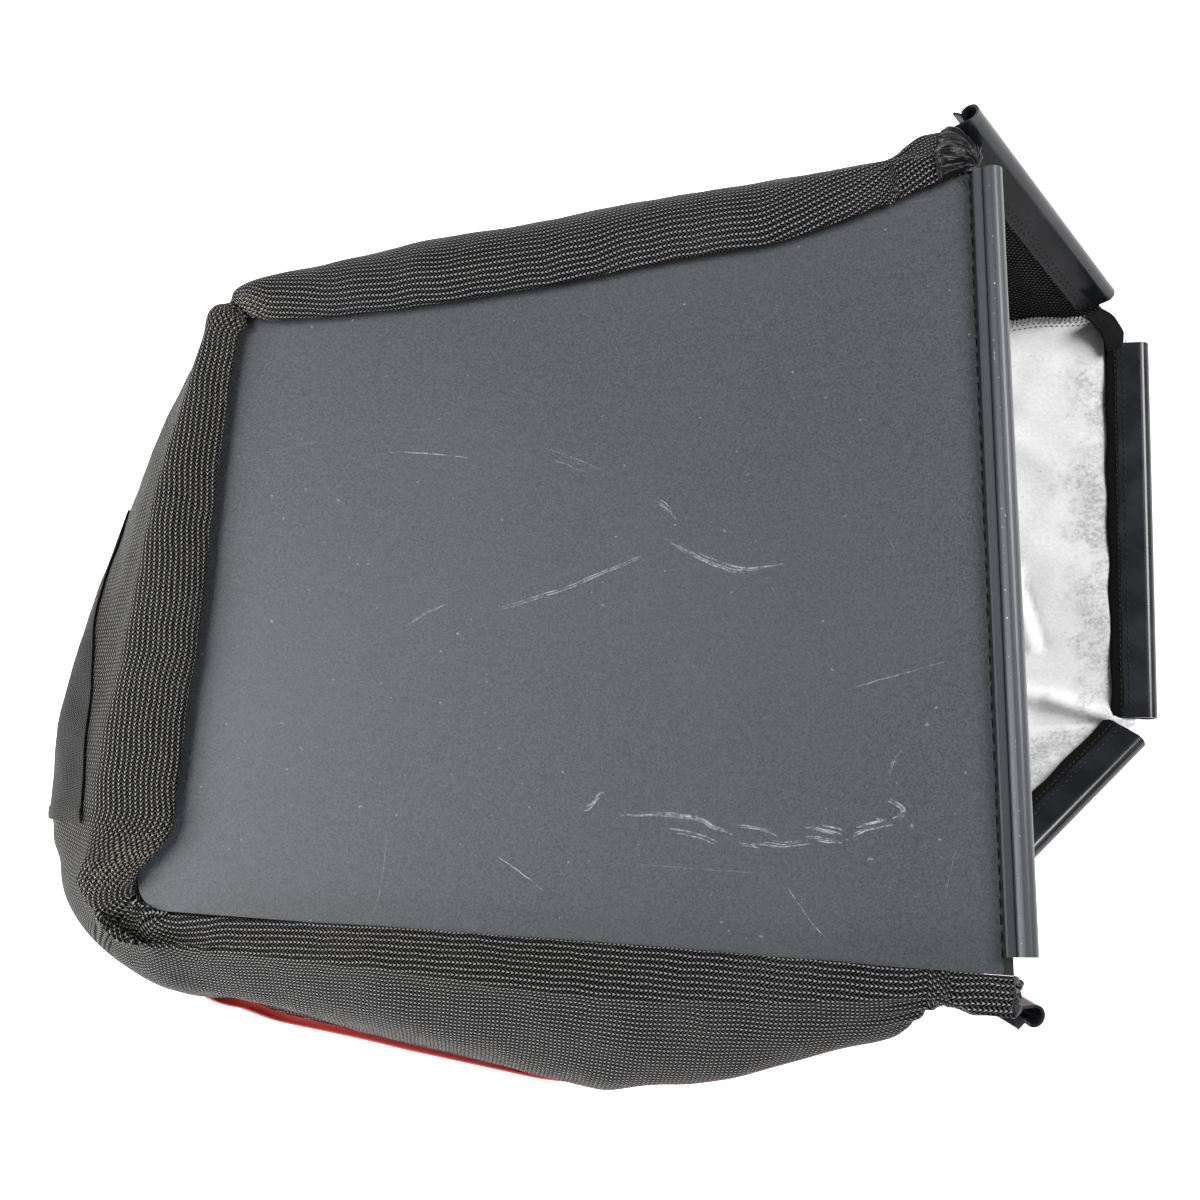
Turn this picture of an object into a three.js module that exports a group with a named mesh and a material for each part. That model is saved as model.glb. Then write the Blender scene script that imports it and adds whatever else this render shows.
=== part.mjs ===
// Fabric grass collection bag of a mower: a stiff floor plate, mesh walls, a lined top cover and
// push-on clip strips round the mouth. It is empty and lies on its top cover, floor plate up.
// Millimetres. While it is built, x runs towards the mouth, y across and z up, with z = 0 at the
// floor plate's upper face and x = 0 at the stitch line beside its mouth edge.
import * as THREE from "three";

// Floor plate
const PLATE_MOUTH_WIDTH = 428;
const PLATE_BACK_WIDTH = 363;
const PLATE_LONG_SIDE = 438; // stitch line to the back corner on the long wall's side
const PLATE_SHORT_SIDE = 482; // the same on the short wall's side
const PLATE_EDGE_BAND = 5.5; // stitch line to the plate's own edge
const PLATE_THICKNESS = 2;
const PLATE_BACK_RADIUS = 24;

// Bag
const BAG_HEIGHT = 205; // plate's upper face down to the ground
const MESH_THICKNESS = 2;
const COVER_THICKNESS = 1.2;
const LINING_THICKNESS = 1;
const CLEARANCE = 0.3; // between touching pieces
const LINING_CLEARANCE = 0.8; // between the cover and its lining
const LINING_INSET = 0.3; // lining's edge, as a share of one step of the cover's grid
const HEM_WIDTH = 12; // mesh turned in under the plate
const MOUTH_LIFT = 13; // the cover's mouth edge stands this far off the ground, on its clip
const LIFT_RUN = 110; // over this length behind the mouth
const FOOT_BLEND = 60; // the walls follow that lift in this much of their height
const FLANK_BELLY = 26; // the flank hangs out this far beyond the line from seam to ground
const FLANK_SAG = 12; // and this far below it
const FLANK_SEAM_DROP = 4.5; // the flank starts this far below the short wall's edge
const SEAM_GAP = 0.35; // half the gap between two walls at a corner seam

// Mouth: the cover is longer than the plate, so the long wall's edge leans out over its height
// and the short wall's edge leans in
const LONG_EDGE_INSET = 11; // from the plate's mouth edge back to the long wall's upper end
const LONG_EDGE_LEAN = 84;
const SHORT_EDGE_LEAN = -125;
const TOP_EDGE_REACH = 92; // cover's mouth edge in x at the long wall
const TOP_EDGE_REACH_LOW = 83; // the same at the corner with the diagonal
const TOP_EDGE_INSET = 34; // its end at the long wall, in from the plate's width
const TOP_EDGE_DIAGONAL = 146; // width of the diagonal at the other end
const TOP_EDGE_START_Y = PLATE_MOUTH_WIDTH / 2 - TOP_EDGE_INSET;
const TOP_EDGE_END_Y = TOP_EDGE_DIAGONAL - PLATE_MOUTH_WIDTH / 2;

// Clip strip, one extruded profile: sewn flange, round channel for an 8 mm wire, flared lip
const CLIP_WALL = 1.5;
const CLIP_BORE = 8.6;
const CLIP_FLANGE_INSIDE = 12.5; // flange behind the cloth's edge
const CLIP_FLANGE_OUTSIDE = 6.75; // cloth's edge to the channel's centre
const CLIP_CHANNEL_TURN = 235; // degrees of the channel's arc
const CLIP_KINK = 1.5; // the arc's end runs this much further in before the lip turns out
const CLIP_LIP = 6;
const CLIP_LIP_FLARE = 42; // degrees between lip and flange
const CLIP_END_GAP = 9; // clip's end to the corner of the mouth
const SHORT_CLIP_STAND_OFF = 8; // the short wall's clip sits further off its cloth's edge
const SHORT_CLIP_DROP = 4.6; // and starts this far down it
const FLOOR_CLIP_LENGTH = PLATE_MOUTH_WIDTH - 9;
const FLOOR_CLIP_CENTRE_Y = 4.5;

// Binding tape, patches and tabs
const TAPE_WIDTH = 11;
const TAPE_THICKNESS = 1;
const TAPE_ON_FLANGE = 5;
const CORNER_TAPE_WIDTH = 15;
const PATCH_THICKNESS = 1.2;
const PATCH_ROWS = [14, 19]; // grid lines of the back wall that it lies on, down the wall
const PATCH_COLUMNS = [5, 20]; // and along it
const TAB_ROWS = [11, 16]; // grid lines of a side wall that a tab lies on, down the wall

// How the cloth hangs, station by station round the plate: how far it rolls over the plate, the
// roll's height, how far it stands out 40 below the plate, 90 below it and at its foot
const HANG = {
  longMouth: { over: 1, crest: 8, side: 34, bulge: 22, foot: -10 },
  longHeld: { over: 8, crest: 9, side: 36, bulge: 24, foot: -10 },
  longNear: { over: 23, crest: 13, side: 34, bulge: 42, foot: -4 },
  longFar: { over: 27, crest: 16, side: 32, bulge: 40, foot: 12 },
  longCorner: { over: 13, crest: 13, side: 26, bulge: 38, foot: 28 },
  backUpper: { over: 13, crest: 18, side: 64, bulge: 84, foot: 72 },
  backMiddle: { over: 14, crest: 20, side: 81, bulge: 102, foot: 88 },
  backLower: { over: 17, crest: 20, side: 91, bulge: 114, foot: 98 },
  backEnd: { over: 10, crest: 17, side: 82, bulge: 102, foot: 88 },
  shortCorner: { over: -4, crest: 8, side: 60, bulge: 73, foot: 64 },
  shortStart: { over: -2, crest: 7, side: 45, bulge: 50, foot: 51 },
  shortFar: { over: 0, crest: 9, side: 60, bulge: 67, foot: 68 },
  shortBulge: { over: 0, crest: 9, side: 73, bulge: 81, foot: 79 },
  shortPast: { over: 0, crest: 8, side: 62, bulge: 68, foot: 65 },
  shortNear: { over: 0, crest: 8, side: 45, bulge: 45, foot: 38 },
  shortHeld: { over: 0, crest: 9, side: 32, bulge: 20, foot: 14 },
  shortMouth: { over: 0, crest: 10, side: 10, bulge: -1, foot: -3 },
};
const SHOULDER_SHARE = 0.46; // of the way out to the side, where the roll turns down
const SIDE_DEPTH = 40;
const BULGE_DEPTH = 90;
const FLANK_SEAM_DEPTH = 96; // the short wall's foot, where the flank of the cover starts
const LONG_EDGE_FROM = 9; // below this depth the long wall's mouth edge is straight
const LONG_EDGE_OUT = 38; // its distance outside the plate there
const LONG_EDGE_SLOPE = 0.27; // and how fast it comes in below
const LONG_EDGE_RETREAT = 18; // by its upper end the cloth's edge runs back, off the clip
const RETREAT_DEPTH = 33; // down to this depth
const LONG_HOLD = [3, -15]; // heights between which an edge comes onto its clip's line
const SHORT_HOLD = [10, 6];
const SHORT_EDGE_FROM = 0;
const SHORT_EDGE_OUT = 20;
const SHORT_EDGE_SLOPE = 0.3;
const LONG_STRAIGHT = [17, 51]; // along its side of the plate, the cloth is held straight up to
const SHORT_STRAIGHT = [18, 42]; // the first distance from its edge, and hangs from the second on
const BEND_SHARE = 0.62; // cover's bend line across its back and mouth edges

// Colour, roughness and metalness by material
const PLASTIC_SHEET = { color: 0x53565d, roughness: 0.42, metalness: 0 };
const CLIP_PLASTIC = { color: 0x2b2d31, roughness: 0.3, metalness: 0 };
const MESH_CLOTH = { color: 0x1b1b1c, roughness: 0.85, metalness: 0 };
const RED_CLOTH = { color: 0xc8231f, roughness: 0.6, metalness: 0 };
const WHITE_FLEECE = { color: 0xdadadb, roughness: 0.95, metalness: 0 };
const BLACK_TAPE = { color: 0x121213, roughness: 0.9, metalness: 0 };

const bag = new THREE.Group();
bag.name = "grass_collection_bag";

function addPiece(name, geometry, look) {
  const mesh = new THREE.Mesh(geometry, new THREE.MeshStandardMaterial(look));
  mesh.name = name;
  bag.add(mesh);
  return mesh;
}

// Small helpers
const clamp01 = (t) => Math.min(1, Math.max(0, t));
const smooth = (t) => clamp01(t) ** 2 * (3 - 2 * clamp01(t));
const mix = (a, b, t) => a + (b - a) * t;
const vec = (x, y, z) => new THREE.Vector3(x, y, z);

// Plate outline, from the mouth on the long wall's side round the back to the mouth again
const plateCorners = [
  new THREE.Vector2(PLATE_EDGE_BAND, PLATE_MOUTH_WIDTH / 2),
  new THREE.Vector2(-PLATE_LONG_SIDE, PLATE_BACK_WIDTH / 2),
  new THREE.Vector2(-PLATE_SHORT_SIDE, -PLATE_BACK_WIDTH / 2),
  new THREE.Vector2(PLATE_EDGE_BAND, -PLATE_MOUTH_WIDTH / 2),
];

function drawRim(path) {
  path.moveTo(plateCorners[0].x, plateCorners[0].y);
  for (const i of [1, 2]) {
    const corner = plateCorners[i];
    const before = plateCorners[i - 1].clone().sub(corner).setLength(PLATE_BACK_RADIUS).add(corner);
    const after = plateCorners[i + 1].clone().sub(corner).setLength(PLATE_BACK_RADIUS).add(corner);
    path.lineTo(before.x, before.y);
    path.quadraticCurveTo(corner.x, corner.y, after.x, after.y);
  }
  path.lineTo(plateCorners[3].x, plateCorners[3].y);
  return path;
}

const plateShape = drawRim(new THREE.Shape());
const plate = new THREE.ExtrudeGeometry(plateShape, {
  depth: PLATE_THICKNESS,
  bevelEnabled: false,
  curveSegments: 10,
});
addPiece("floor_plate", plate, PLASTIC_SHEET).position.z = -PLATE_THICKNESS;

// Stations of the hanging cloth, by distance along the rim
const rim = drawRim(new THREE.Path());
const rimLengths = rim.getCurveLengths();
const rimLength = rimLengths.at(-1);
const longCornerAt = (rimLengths[0] + rimLengths[1]) / 2;
const shortCornerAt = (rimLengths[2] + rimLengths[3]) / 2;
const backLength = shortCornerAt - longCornerAt;
const stations = [
  [0, "longMouth"],
  [LONG_EDGE_INSET + LONG_STRAIGHT[0], "longHeld"],
  [longCornerAt * 0.26, "longNear"],
  [longCornerAt * 0.68, "longFar"],
  [longCornerAt, "longCorner"],
  [longCornerAt + backLength * 0.27, "backUpper"],
  [longCornerAt + backLength * 0.5, "backMiddle"],
  [longCornerAt + backLength * 0.72, "backLower"],
  [shortCornerAt - PLATE_BACK_RADIUS * 0.75, "backEnd"],
  [shortCornerAt, "shortCorner"],
  [mix(shortCornerAt, rimLength, 0.1), "shortStart"],
  [mix(shortCornerAt, rimLength, 0.3), "shortFar"],
  [mix(shortCornerAt, rimLength, 0.6), "shortBulge"],
  [mix(shortCornerAt, rimLength, 0.75), "shortPast"],
  [mix(shortCornerAt, rimLength, 0.86), "shortNear"],
  [mix(shortCornerAt, rimLength, 0.935), "shortHeld"],
  [rimLength - SHORT_STRAIGHT[0], "shortMouth"],
  [rimLength, "shortMouth"],
];
const bendAt = longCornerAt + backLength * 0.7; // cover's bend line meets the back wall here

// One size of the hanging cloth at a distance along the rim, smooth through the stations
function hang(key, at) {
  let i = 0;
  while (i < stations.length - 2 && at > stations[i + 1][0]) i++;
  const [a, b] = [stations[i], stations[i + 1]];
  const t = clamp01((at - a[0]) / (b[0] - a[0]));
  return mix(HANG[a[1]][key], HANG[b[1]][key], smooth(t) * 0.6 + t * 0.4);
}

const liftAt = (x) => MOUTH_LIFT * smooth((x - (TOP_EDGE_REACH - LIFT_RUN)) / LIFT_RUN);

// Foot of the walls: the ground along the long wall and the back, then up the back wall's sloping
// edge to the flank's seam
function footDepth(at) {
  const onCover = BAG_HEIGHT - COVER_THICKNESS - CLEARANCE;
  return mix(onCover, FLANK_SEAM_DEPTH, clamp01((at - bendAt) / (shortCornerAt - bendAt)));
}

const STEPS_DOWN = 18;
const ROLL_TOP_ROW = 10; // from this point of a section on, the cloth hangs down

// How far a wall's straight mouth edge stands outside the plate at a depth
const edgeOut = (depth, onShortSide) =>
  onShortSide
    ? SHORT_EDGE_OUT - SHORT_EDGE_SLOPE * (depth - SHORT_EDGE_FROM)
    : LONG_EDGE_OUT - LONG_EDGE_SLOPE * (depth - LONG_EDGE_FROM);

// Section of the hanging cloth at one distance along the rim, as points of the wall's outer face
function section(at) {
  const [over, crest, side] = ["over", "crest", "side"].map((key) => hang(key, at));
  const underside = -PLATE_THICKNESS - CLEARANCE;
  const fromMouth = Math.min(at - LONG_EDGE_INSET, rimLength - at);
  const [straightTo, hangsFrom] = at > shortCornerAt ? SHORT_STRAIGHT : LONG_STRAIGHT;
  const straight = 1 - smooth((fromMouth - straightTo) / (hangsFrom - straightTo));
  const hem = mix(HEM_WIDTH, -1, clamp01(straight * 2));
  const depth = footDepth(at);
  const onShortSide = at > shortCornerAt;
  const shape = [
    [2.6, 0.8],
    [Math.min(2, 4 - over), 2.8],
    [-over, 3 + crest * 0.35],
    [mix(-over, side, 0.33), crest],
    [side * SHOULDER_SHARE, crest * 0.15],
    [side, -SIDE_DEPTH],
    [hang("bulge", at), -Math.min(BULGE_DEPTH, depth - 8)],
    [hang("foot", at), -depth],
  ];
  const curve = new THREE.SplineCurve(shape.map(([out, up]) => new THREE.Vector2(out, up)));
  const flat = [new THREE.Vector2(-hem, underside), new THREE.Vector2(2.2, underside)];
  for (let k = 0; k <= STEPS_DOWN; k++) flat.push(curve.getPoint(k / STEPS_DOWN));

  const [holdFrom, holdTo] = onShortSide ? SHORT_HOLD : LONG_HOLD;
  const lean = onShortSide ? SHORT_EDGE_LEAN : LONG_EDGE_LEAN;
  const leanFade = onShortSide
    ? smooth((at - shortCornerAt) / (rimLength - SHORT_STRAIGHT[0] - shortCornerAt))
    : smooth((longCornerAt - at) / (longCornerAt - LONG_EDGE_INSET - LONG_STRAIGHT[0]));
  const base = rim.getPoint(at / rimLength);
  const tangent = rim.getTangent(at / rimLength);
  return flat.map((p, row) => {
    const low = Math.max(0, -p.y);
    const hold = smooth((holdFrom - p.y) / (holdFrom - holdTo));
    const held = row < ROLL_TOP_ROW ? 0 : straight * hold;
    const out = mix(p.x, edgeOut(low, onShortSide), held);
    const back = onShortSide ? 0 : straight * LONG_EDGE_RETREAT * smooth((RETREAT_DEPTH - low) / 14);
    const x = base.x - tangent.y * -out + (lean * leanFade * low) / BAG_HEIGHT - back;
    const y = base.y - tangent.x * out;
    const footShare = smooth((low - depth + FOOT_BLEND) / FOOT_BLEND);
    return vec(x, y, p.y + (onShortSide ? 0 : liftAt(x) * footShare));
  });
}

// A closed sheet between two offsets of a grid of points along the grid's normals, the larger
// offset first. The normals of the walls point into the bag, those of the cover out of it.
function sheet(grid, offsetA, offsetB) {
  const rows = grid.length;
  const columns = grid[0].length;
  const normals = grid.map((row, i) =>
    row.map((_, j) => {
      const along = grid[Math.min(i + 1, rows - 1)][j].clone().sub(grid[Math.max(i - 1, 0)][j]);
      const across = row[Math.min(j + 1, columns - 1)].clone().sub(row[Math.max(j - 1, 0)]);
      return along.cross(across).normalize();
    }),
  );
  const positions = [];
  for (const offset of [offsetA, offsetB])
    for (let i = 0; i < rows; i++)
      for (let j = 0; j < columns; j++)
        positions.push(...grid[i][j].clone().addScaledVector(normals[i][j], offset).toArray());
  const index = [];
  const second = rows * columns;
  const quad = (a, b, c, d) => index.push(a, b, c, a, c, d);
  for (let i = 0; i < rows - 1; i++)
    for (let j = 0; j < columns - 1; j++) {
      const [a, b] = [i * columns + j, (i + 1) * columns + j];
      quad(a, b, b + 1, a + 1);
      quad(second + a, second + a + 1, second + b + 1, second + b);
    }
  for (let i = 0; i < rows - 1; i++)
    for (const [j, turned] of [[0, true], [columns - 1, false]]) {
      const [a, b] = [i * columns + j, (i + 1) * columns + j];
      if (turned) quad(a, second + a, second + b, b);
      else quad(a, b, second + b, second + a);
    }
  for (let j = 0; j < columns - 1; j++)
    for (const [i, turned] of [[0, false], [rows - 1, true]]) {
      const a = i * columns + j;
      if (turned) quad(a, second + a, second + a + 1, a + 1);
      else quad(a, a + 1, second + a + 1, second + a);
    }
  const geometry = new THREE.BufferGeometry();
  geometry.setAttribute("position", new THREE.Float32BufferAttribute(positions, 3));
  geometry.setIndex(index);
  geometry.computeVertexNormals();
  return geometry;
}

// Rows of wall points between two distances along the rim
function wallGrid(from, to, rows, firstPoint = 0, lastPoint = STEPS_DOWN + 2) {
  const grid = [];
  for (let i = 0; i <= rows; i++)
    grid.push(section(mix(from, to, i / rows)).slice(firstPoint, lastPoint + 1));
  return grid;
}

const wall = (grid) => sheet(grid, MESH_THICKNESS, 0);
const longGrid = wallGrid(LONG_EDGE_INSET, longCornerAt - SEAM_GAP, 22);
const backGrid = wallGrid(longCornerAt + SEAM_GAP, shortCornerAt - SEAM_GAP, 22);
const shortGrid = wallGrid(shortCornerAt + SEAM_GAP, rimLength, 24);
addPiece("mesh_wall_long_side", wall(longGrid), MESH_CLOTH);
addPiece("mesh_wall_back", wall(backGrid), MESH_CLOTH);
addPiece("mesh_wall_short_side", wall(shortGrid), MESH_CLOTH);

// Top cover: a floor part and a flank in one cloth, between the feet of the walls and the mouth
const footOf = (at) => section(at).at(-1);
const onGround = (p) => vec(p.x, p.y, -BAG_HEIGHT);
const mouthCorner = vec(TOP_EDGE_REACH_LOW, TOP_EDGE_END_Y, -BAG_HEIGHT);
const flankTop = (at) => footOf(at).add(vec(0, 0, -FLANK_SEAM_DROP));
const CORNER_SHARE = 0.09; // share of the mouth row that rounds the corner by the long wall

function backRow(w) {
  if (w <= BEND_SHARE) return onGround(footOf(mix(longCornerAt, bendAt, w / BEND_SHARE)));
  const p = footOf(mix(bendAt, shortCornerAt, (w - BEND_SHARE) / (1 - BEND_SHARE)));
  return p.setZ(Math.max(-BAG_HEIGHT, p.z - FLANK_SEAM_DROP));
}

function mouthRow(w) {
  const start = onGround(footOf(LONG_EDGE_INSET));
  const edge = vec(TOP_EDGE_REACH, TOP_EDGE_START_Y, -BAG_HEIGHT);
  if (w <= CORNER_SHARE) return start.lerp(edge, w / CORNER_SHARE);
  if (w <= BEND_SHARE)
    return edge.lerp(mouthCorner, (w - CORNER_SHARE) / (BEND_SHARE - CORNER_SHARE));
  return mouthCorner.clone().lerp(flankTop(rimLength), (w - BEND_SHARE) / (1 - BEND_SHARE));
}

function coverPoint(s, w) {
  const p = backRow(w).lerp(mouthRow(w), s);
  const longFoot = onGround(footOf(mix(longCornerAt, LONG_EDGE_INSET, s)));
  const longStraight = backRow(0).lerp(mouthRow(0), s);
  p.addScaledVector(longFoot.sub(longStraight), clamp01(1 - w / BEND_SHARE));
  const flank = clamp01((w - BEND_SHARE) / (1 - BEND_SHARE));
  const shortFoot = flankTop(mix(shortCornerAt, rimLength, s));
  const shortStraight = backRow(1).lerp(mouthRow(1), s);
  p.addScaledVector(shortFoot.sub(shortStraight), smooth(flank));
  // the flank hangs out between its seam and the ground, and is straight at the clip
  const belly = Math.sin(Math.PI * clamp01(s)) ** 0.6 * Math.sin(Math.PI * flank);
  p.y -= FLANK_BELLY * belly;
  p.z = Math.max(-BAG_HEIGHT, p.z - FLANK_SAG * belly * flank);
  p.z += liftAt(p.x) * (1 - flank);
  return p;
}

// Grid lines of the cover: even along the bag, and with one on the bend line across it
const lengthwise = Array.from({ length: 19 }, (_, i) => i / 18);
const crosswise = [
  ...Array.from({ length: 14 }, (_, i) => (BEND_SHARE * i) / 14),
  ...Array.from({ length: 11 }, (_, i) => mix(BEND_SHARE, 1, i / 10)),
];
const coverGrid = lengthwise.map((s) => crosswise.map((w) => coverPoint(s, w)));
addPiece("top_cover", sheet(coverGrid, 0, -COVER_THICKNESS), RED_CLOTH);

// The lining lies on the cover's own grid. Its ends are drawn in by a share of the last step.
const drawnIn = (line, first, last) => [
  line[0].clone().lerp(line[1], first),
  ...line.slice(1, -1),
  line.at(-1).clone().lerp(line.at(-2), last),
];
const inAcross = coverGrid.map((row) => drawnIn(row, LINING_INSET, LINING_INSET));
const inAlong = inAcross[0].map((_, j) => drawnIn(inAcross.map((row) => row[j]), LINING_INSET, 0));
const liningGrid = inAlong[0].map((_, i) => inAlong.map((line) => line[i]));
const liningLow = COVER_THICKNESS + LINING_CLEARANCE;
addPiece("top_lining", sheet(liningGrid, -liningLow, -liningLow - LINING_THICKNESS), WHITE_FLEECE);

// Clip profile, drawn round its middle line: x from the cloth's edge outwards, y to the outside
function clipShape() {
  const r = (CLIP_BORE + CLIP_WALL) / 2;
  const line = [new THREE.Vector2(-CLIP_FLANGE_INSIDE, 0), new THREE.Vector2(0, 0)];
  const arcSteps = 20;
  for (let i = 0; i <= arcSteps; i++) {
    const angle = THREE.MathUtils.degToRad(-90 + (CLIP_CHANNEL_TURN * i) / arcSteps);
    const [c, s] = [Math.cos(angle), Math.sin(angle)];
    line.push(new THREE.Vector2(CLIP_FLANGE_OUTSIDE + r * c, r + r * s));
  }
  const end = line.at(-1).clone();
  const last = THREE.MathUtils.degToRad(CLIP_CHANNEL_TURN);
  line.push(end.clone().add(new THREE.Vector2(Math.cos(last), Math.sin(last)).setLength(CLIP_KINK)));
  const flare = THREE.MathUtils.degToRad(180 - CLIP_LIP_FLARE);
  const lip = new THREE.Vector2(Math.cos(flare), Math.sin(flare)).setLength(CLIP_LIP);
  line.push(line.at(-1).clone().add(lip));
  const left = [];
  const right = [];
  line.forEach((p, i) => {
    const along = line[Math.min(i + 1, line.length - 1)].clone().sub(line[Math.max(i - 1, 0)]);
    const side = new THREE.Vector2(-along.y, along.x).setLength(CLIP_WALL / 2);
    left.push(p.clone().add(side));
    right.unshift(p.clone().sub(side));
  });
  return new THREE.Shape([...left, ...right]);
}

// A clip on the cloth's outer edge from one point to another. The cloth comes from the inward
// side, layers is its thickness there, and the channel and lip stand on the outer side.
function clipFrame(from, to, inward, outer) {
  const axis = to.clone().sub(from).normalize();
  const out = inward.clone().addScaledVector(axis, -inward.dot(axis)).normalize().negate();
  const normal = new THREE.Vector3().crossVectors(axis, out);
  if (normal.dot(outer) < 0) normal.negate();
  return { axis, out, normal };
}

function clip(name, from, to, inward, outer, layers, standOff = 0) {
  const { axis, out, normal } = clipFrame(from, to, inward, outer);
  const length = from.distanceTo(to);
  const geometry = new THREE.ExtrudeGeometry(clipShape(), { depth: length, bevelEnabled: false });
  const forward = new THREE.Vector3().crossVectors(out, normal);
  const start = forward.dot(axis) > 0 ? from : to;
  const piece = addPiece(name, geometry, CLIP_PLASTIC);
  const turn = new THREE.Matrix4().makeBasis(out, normal, forward);
  piece.quaternion.setFromRotationMatrix(turn);
  piece.position
    .copy(start)
    .addScaledVector(out, standOff)
    .addScaledVector(normal, -layers - CLEARANCE - CLIP_WALL / 2);
  return piece;
}

const towardsBack = (side) => vec(rim.getTangent(side).x, rim.getTangent(side).y, 0);
const longInward = towardsBack(0);
const shortInward = towardsBack(1).negate();

// Floor edge: under the plate's mouth edge
const floorEnd = (sign) =>
  vec(PLATE_EDGE_BAND, FLOOR_CLIP_CENTRE_Y + (sign * FLOOR_CLIP_LENGTH) / 2, 0);
clip("clip_floor_edge", floorEnd(-1), floorEnd(1), vec(-1, 0, 0), vec(0, 0, 1), PLATE_THICKNESS);

// Walls' mouth edges: each one's straight line, from just below its start to its foot
function edgeLine(at, from) {
  const onShortSide = at > shortCornerAt;
  const base = rim.getPoint(at / rimLength);
  const tangent = rim.getTangent(at / rimLength);
  const out = edgeOut(from, onShortSide);
  const lean = ((onShortSide ? SHORT_EDGE_LEAN : LONG_EDGE_LEAN) * from) / BAG_HEIGHT;
  const upper = vec(base.x + tangent.y * out + lean, base.y - tangent.x * out, -from);
  return [upper, section(at).at(-1)];
}
const between = ([a, b], fromA, fromB) => {
  const d = b.clone().sub(a).normalize();
  return [a.clone().addScaledVector(d, fromA), b.clone().addScaledVector(d, -fromB)];
};

const longClip = between(edgeLine(LONG_EDGE_INSET, LONG_EDGE_FROM), 1, CLIP_END_GAP + 5);
clip("clip_long_side", ...longClip, longInward, vec(0, 1, 0), MESH_THICKNESS);
const shortClip = between(edgeLine(rimLength, SHORT_EDGE_FROM), SHORT_CLIP_DROP, CLIP_END_GAP);
clip(
  "clip_short_side",
  ...shortClip,
  shortInward,
  vec(0, -1, 0),
  MESH_THICKNESS,
  SHORT_CLIP_STAND_OFF,
);

// Cover's mouth edges: the straight one by the ground and the diagonal up to the short wall
const lifted = (p) => p.clone().add(vec(0, 0, MOUTH_LIFT));
const coverLayers = COVER_THICKNESS + LINING_CLEARANCE + LINING_THICKNESS;
const topStart = lifted(vec(TOP_EDGE_REACH, TOP_EDGE_START_Y, -BAG_HEIGHT));
const topEnd = lifted(mouthCorner);
const topClip = between([topStart, topEnd], 4, 4);
clip("clip_top_edge", ...topClip, vec(-1, 0, 0), vec(0, 0, -1), coverLayers);
const diagonalClip = between([topEnd, flankTop(rimLength)], CLIP_END_GAP, CLIP_END_GAP + 4);
clip("clip_diagonal", ...diagonalClip, vec(-1, 0, 0), vec(0, -1, -1), coverLayers);

// Binding tape over the inner edge of the flanges on the cover's two mouth edges
function tape(name, [from, to], outer) {
  const { axis, out, normal } = clipFrame(from, to, vec(-1, 0, 0), outer);
  const rise = coverLayers + 2 * CLEARANCE + CLIP_WALL;
  const a = TAPE_ON_FLANGE - CLIP_FLANGE_INSIDE;
  const strip = new THREE.BoxGeometry(TAPE_WIDTH, TAPE_THICKNESS, from.distanceTo(to) - 2);
  const piece = addPiece(name, strip, BLACK_TAPE);
  const forward = new THREE.Vector3().crossVectors(out, normal);
  piece.quaternion.setFromRotationMatrix(new THREE.Matrix4().makeBasis(out, normal, forward));
  piece.position
    .copy(from)
    .lerp(to, 0.5)
    .addScaledVector(out, a - TAPE_WIDTH / 2)
    .addScaledVector(normal, -rise - TAPE_THICKNESS / 2);
  return piece;
}
tape("binding_top_edge", topClip, vec(0, 0, -1));
tape("binding_diagonal", diagonalClip, vec(0, -1, -1));

// Folded tape that closes the corner between the long clip and the top clip
const cornerGrid = [];
for (let i = 0; i <= 8; i++) {
  const p = longClip[1].clone().lerp(topClip[0], (i + 1) / 10);
  const round = Math.sin((Math.PI * i) / 8);
  p.add(vec(4 + 3 * round, 2 * round, -2));
  cornerGrid.push([p, p.clone().add(vec(-1, -1, CORNER_TAPE_WIDTH))]);
}
addPiece("binding_corner", sheet(cornerGrid, TAPE_THICKNESS, 0), BLACK_TAPE);

// Woven patch on the outside of the back wall, and the tabs that bind the rolls' mouth ends
const upon = (grid) => sheet(grid, -CLEARANCE, -CLEARANCE - PATCH_THICKNESS);
const patchGrid = backGrid.slice(...PATCH_COLUMNS).map((row) => row.slice(...PATCH_ROWS));
addPiece("back_patch", upon(patchGrid), MESH_CLOTH);
function tab(name, lineA, lineB, from, to) {
  const [a, b] = [lineA.slice(...TAB_ROWS), lineB.slice(...TAB_ROWS)];
  const grid = [0, 0.5, 1].map((t) => a.map((p, j) => p.clone().lerp(b[j], mix(from, to, t))));
  addPiece(name, upon(grid), BLACK_TAPE);
}
tab("corner_tab_long_side", longGrid[0], longGrid[1], 0.08, 0.78);
tab("corner_tab_short_side", shortGrid.at(-2), shortGrid.at(-1), 0.22, 0.92);

// Origin: the middle of the base that it lies on
const bounds = new THREE.Box3().setFromObject(bag, true);
const middle = bounds.getCenter(new THREE.Vector3());
bag.position.set(-middle.x, -middle.y, -bounds.min.z);

export default bag;
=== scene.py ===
"""Looks of a mower's fabric grass collection bag, lying on its top cover with the floor plate up.

The cloth is worked out as surfaces: each is a function of two parameters on a grid. Inside this
file lengths are in millimetres from the middle of the stitch line at the plate's mouth edge, with
x towards the mouth, y across and z up; place() turns them into the row frame's metres.
"""

import bpy
import numpy as np
from mathutils import Matrix, Vector


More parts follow.
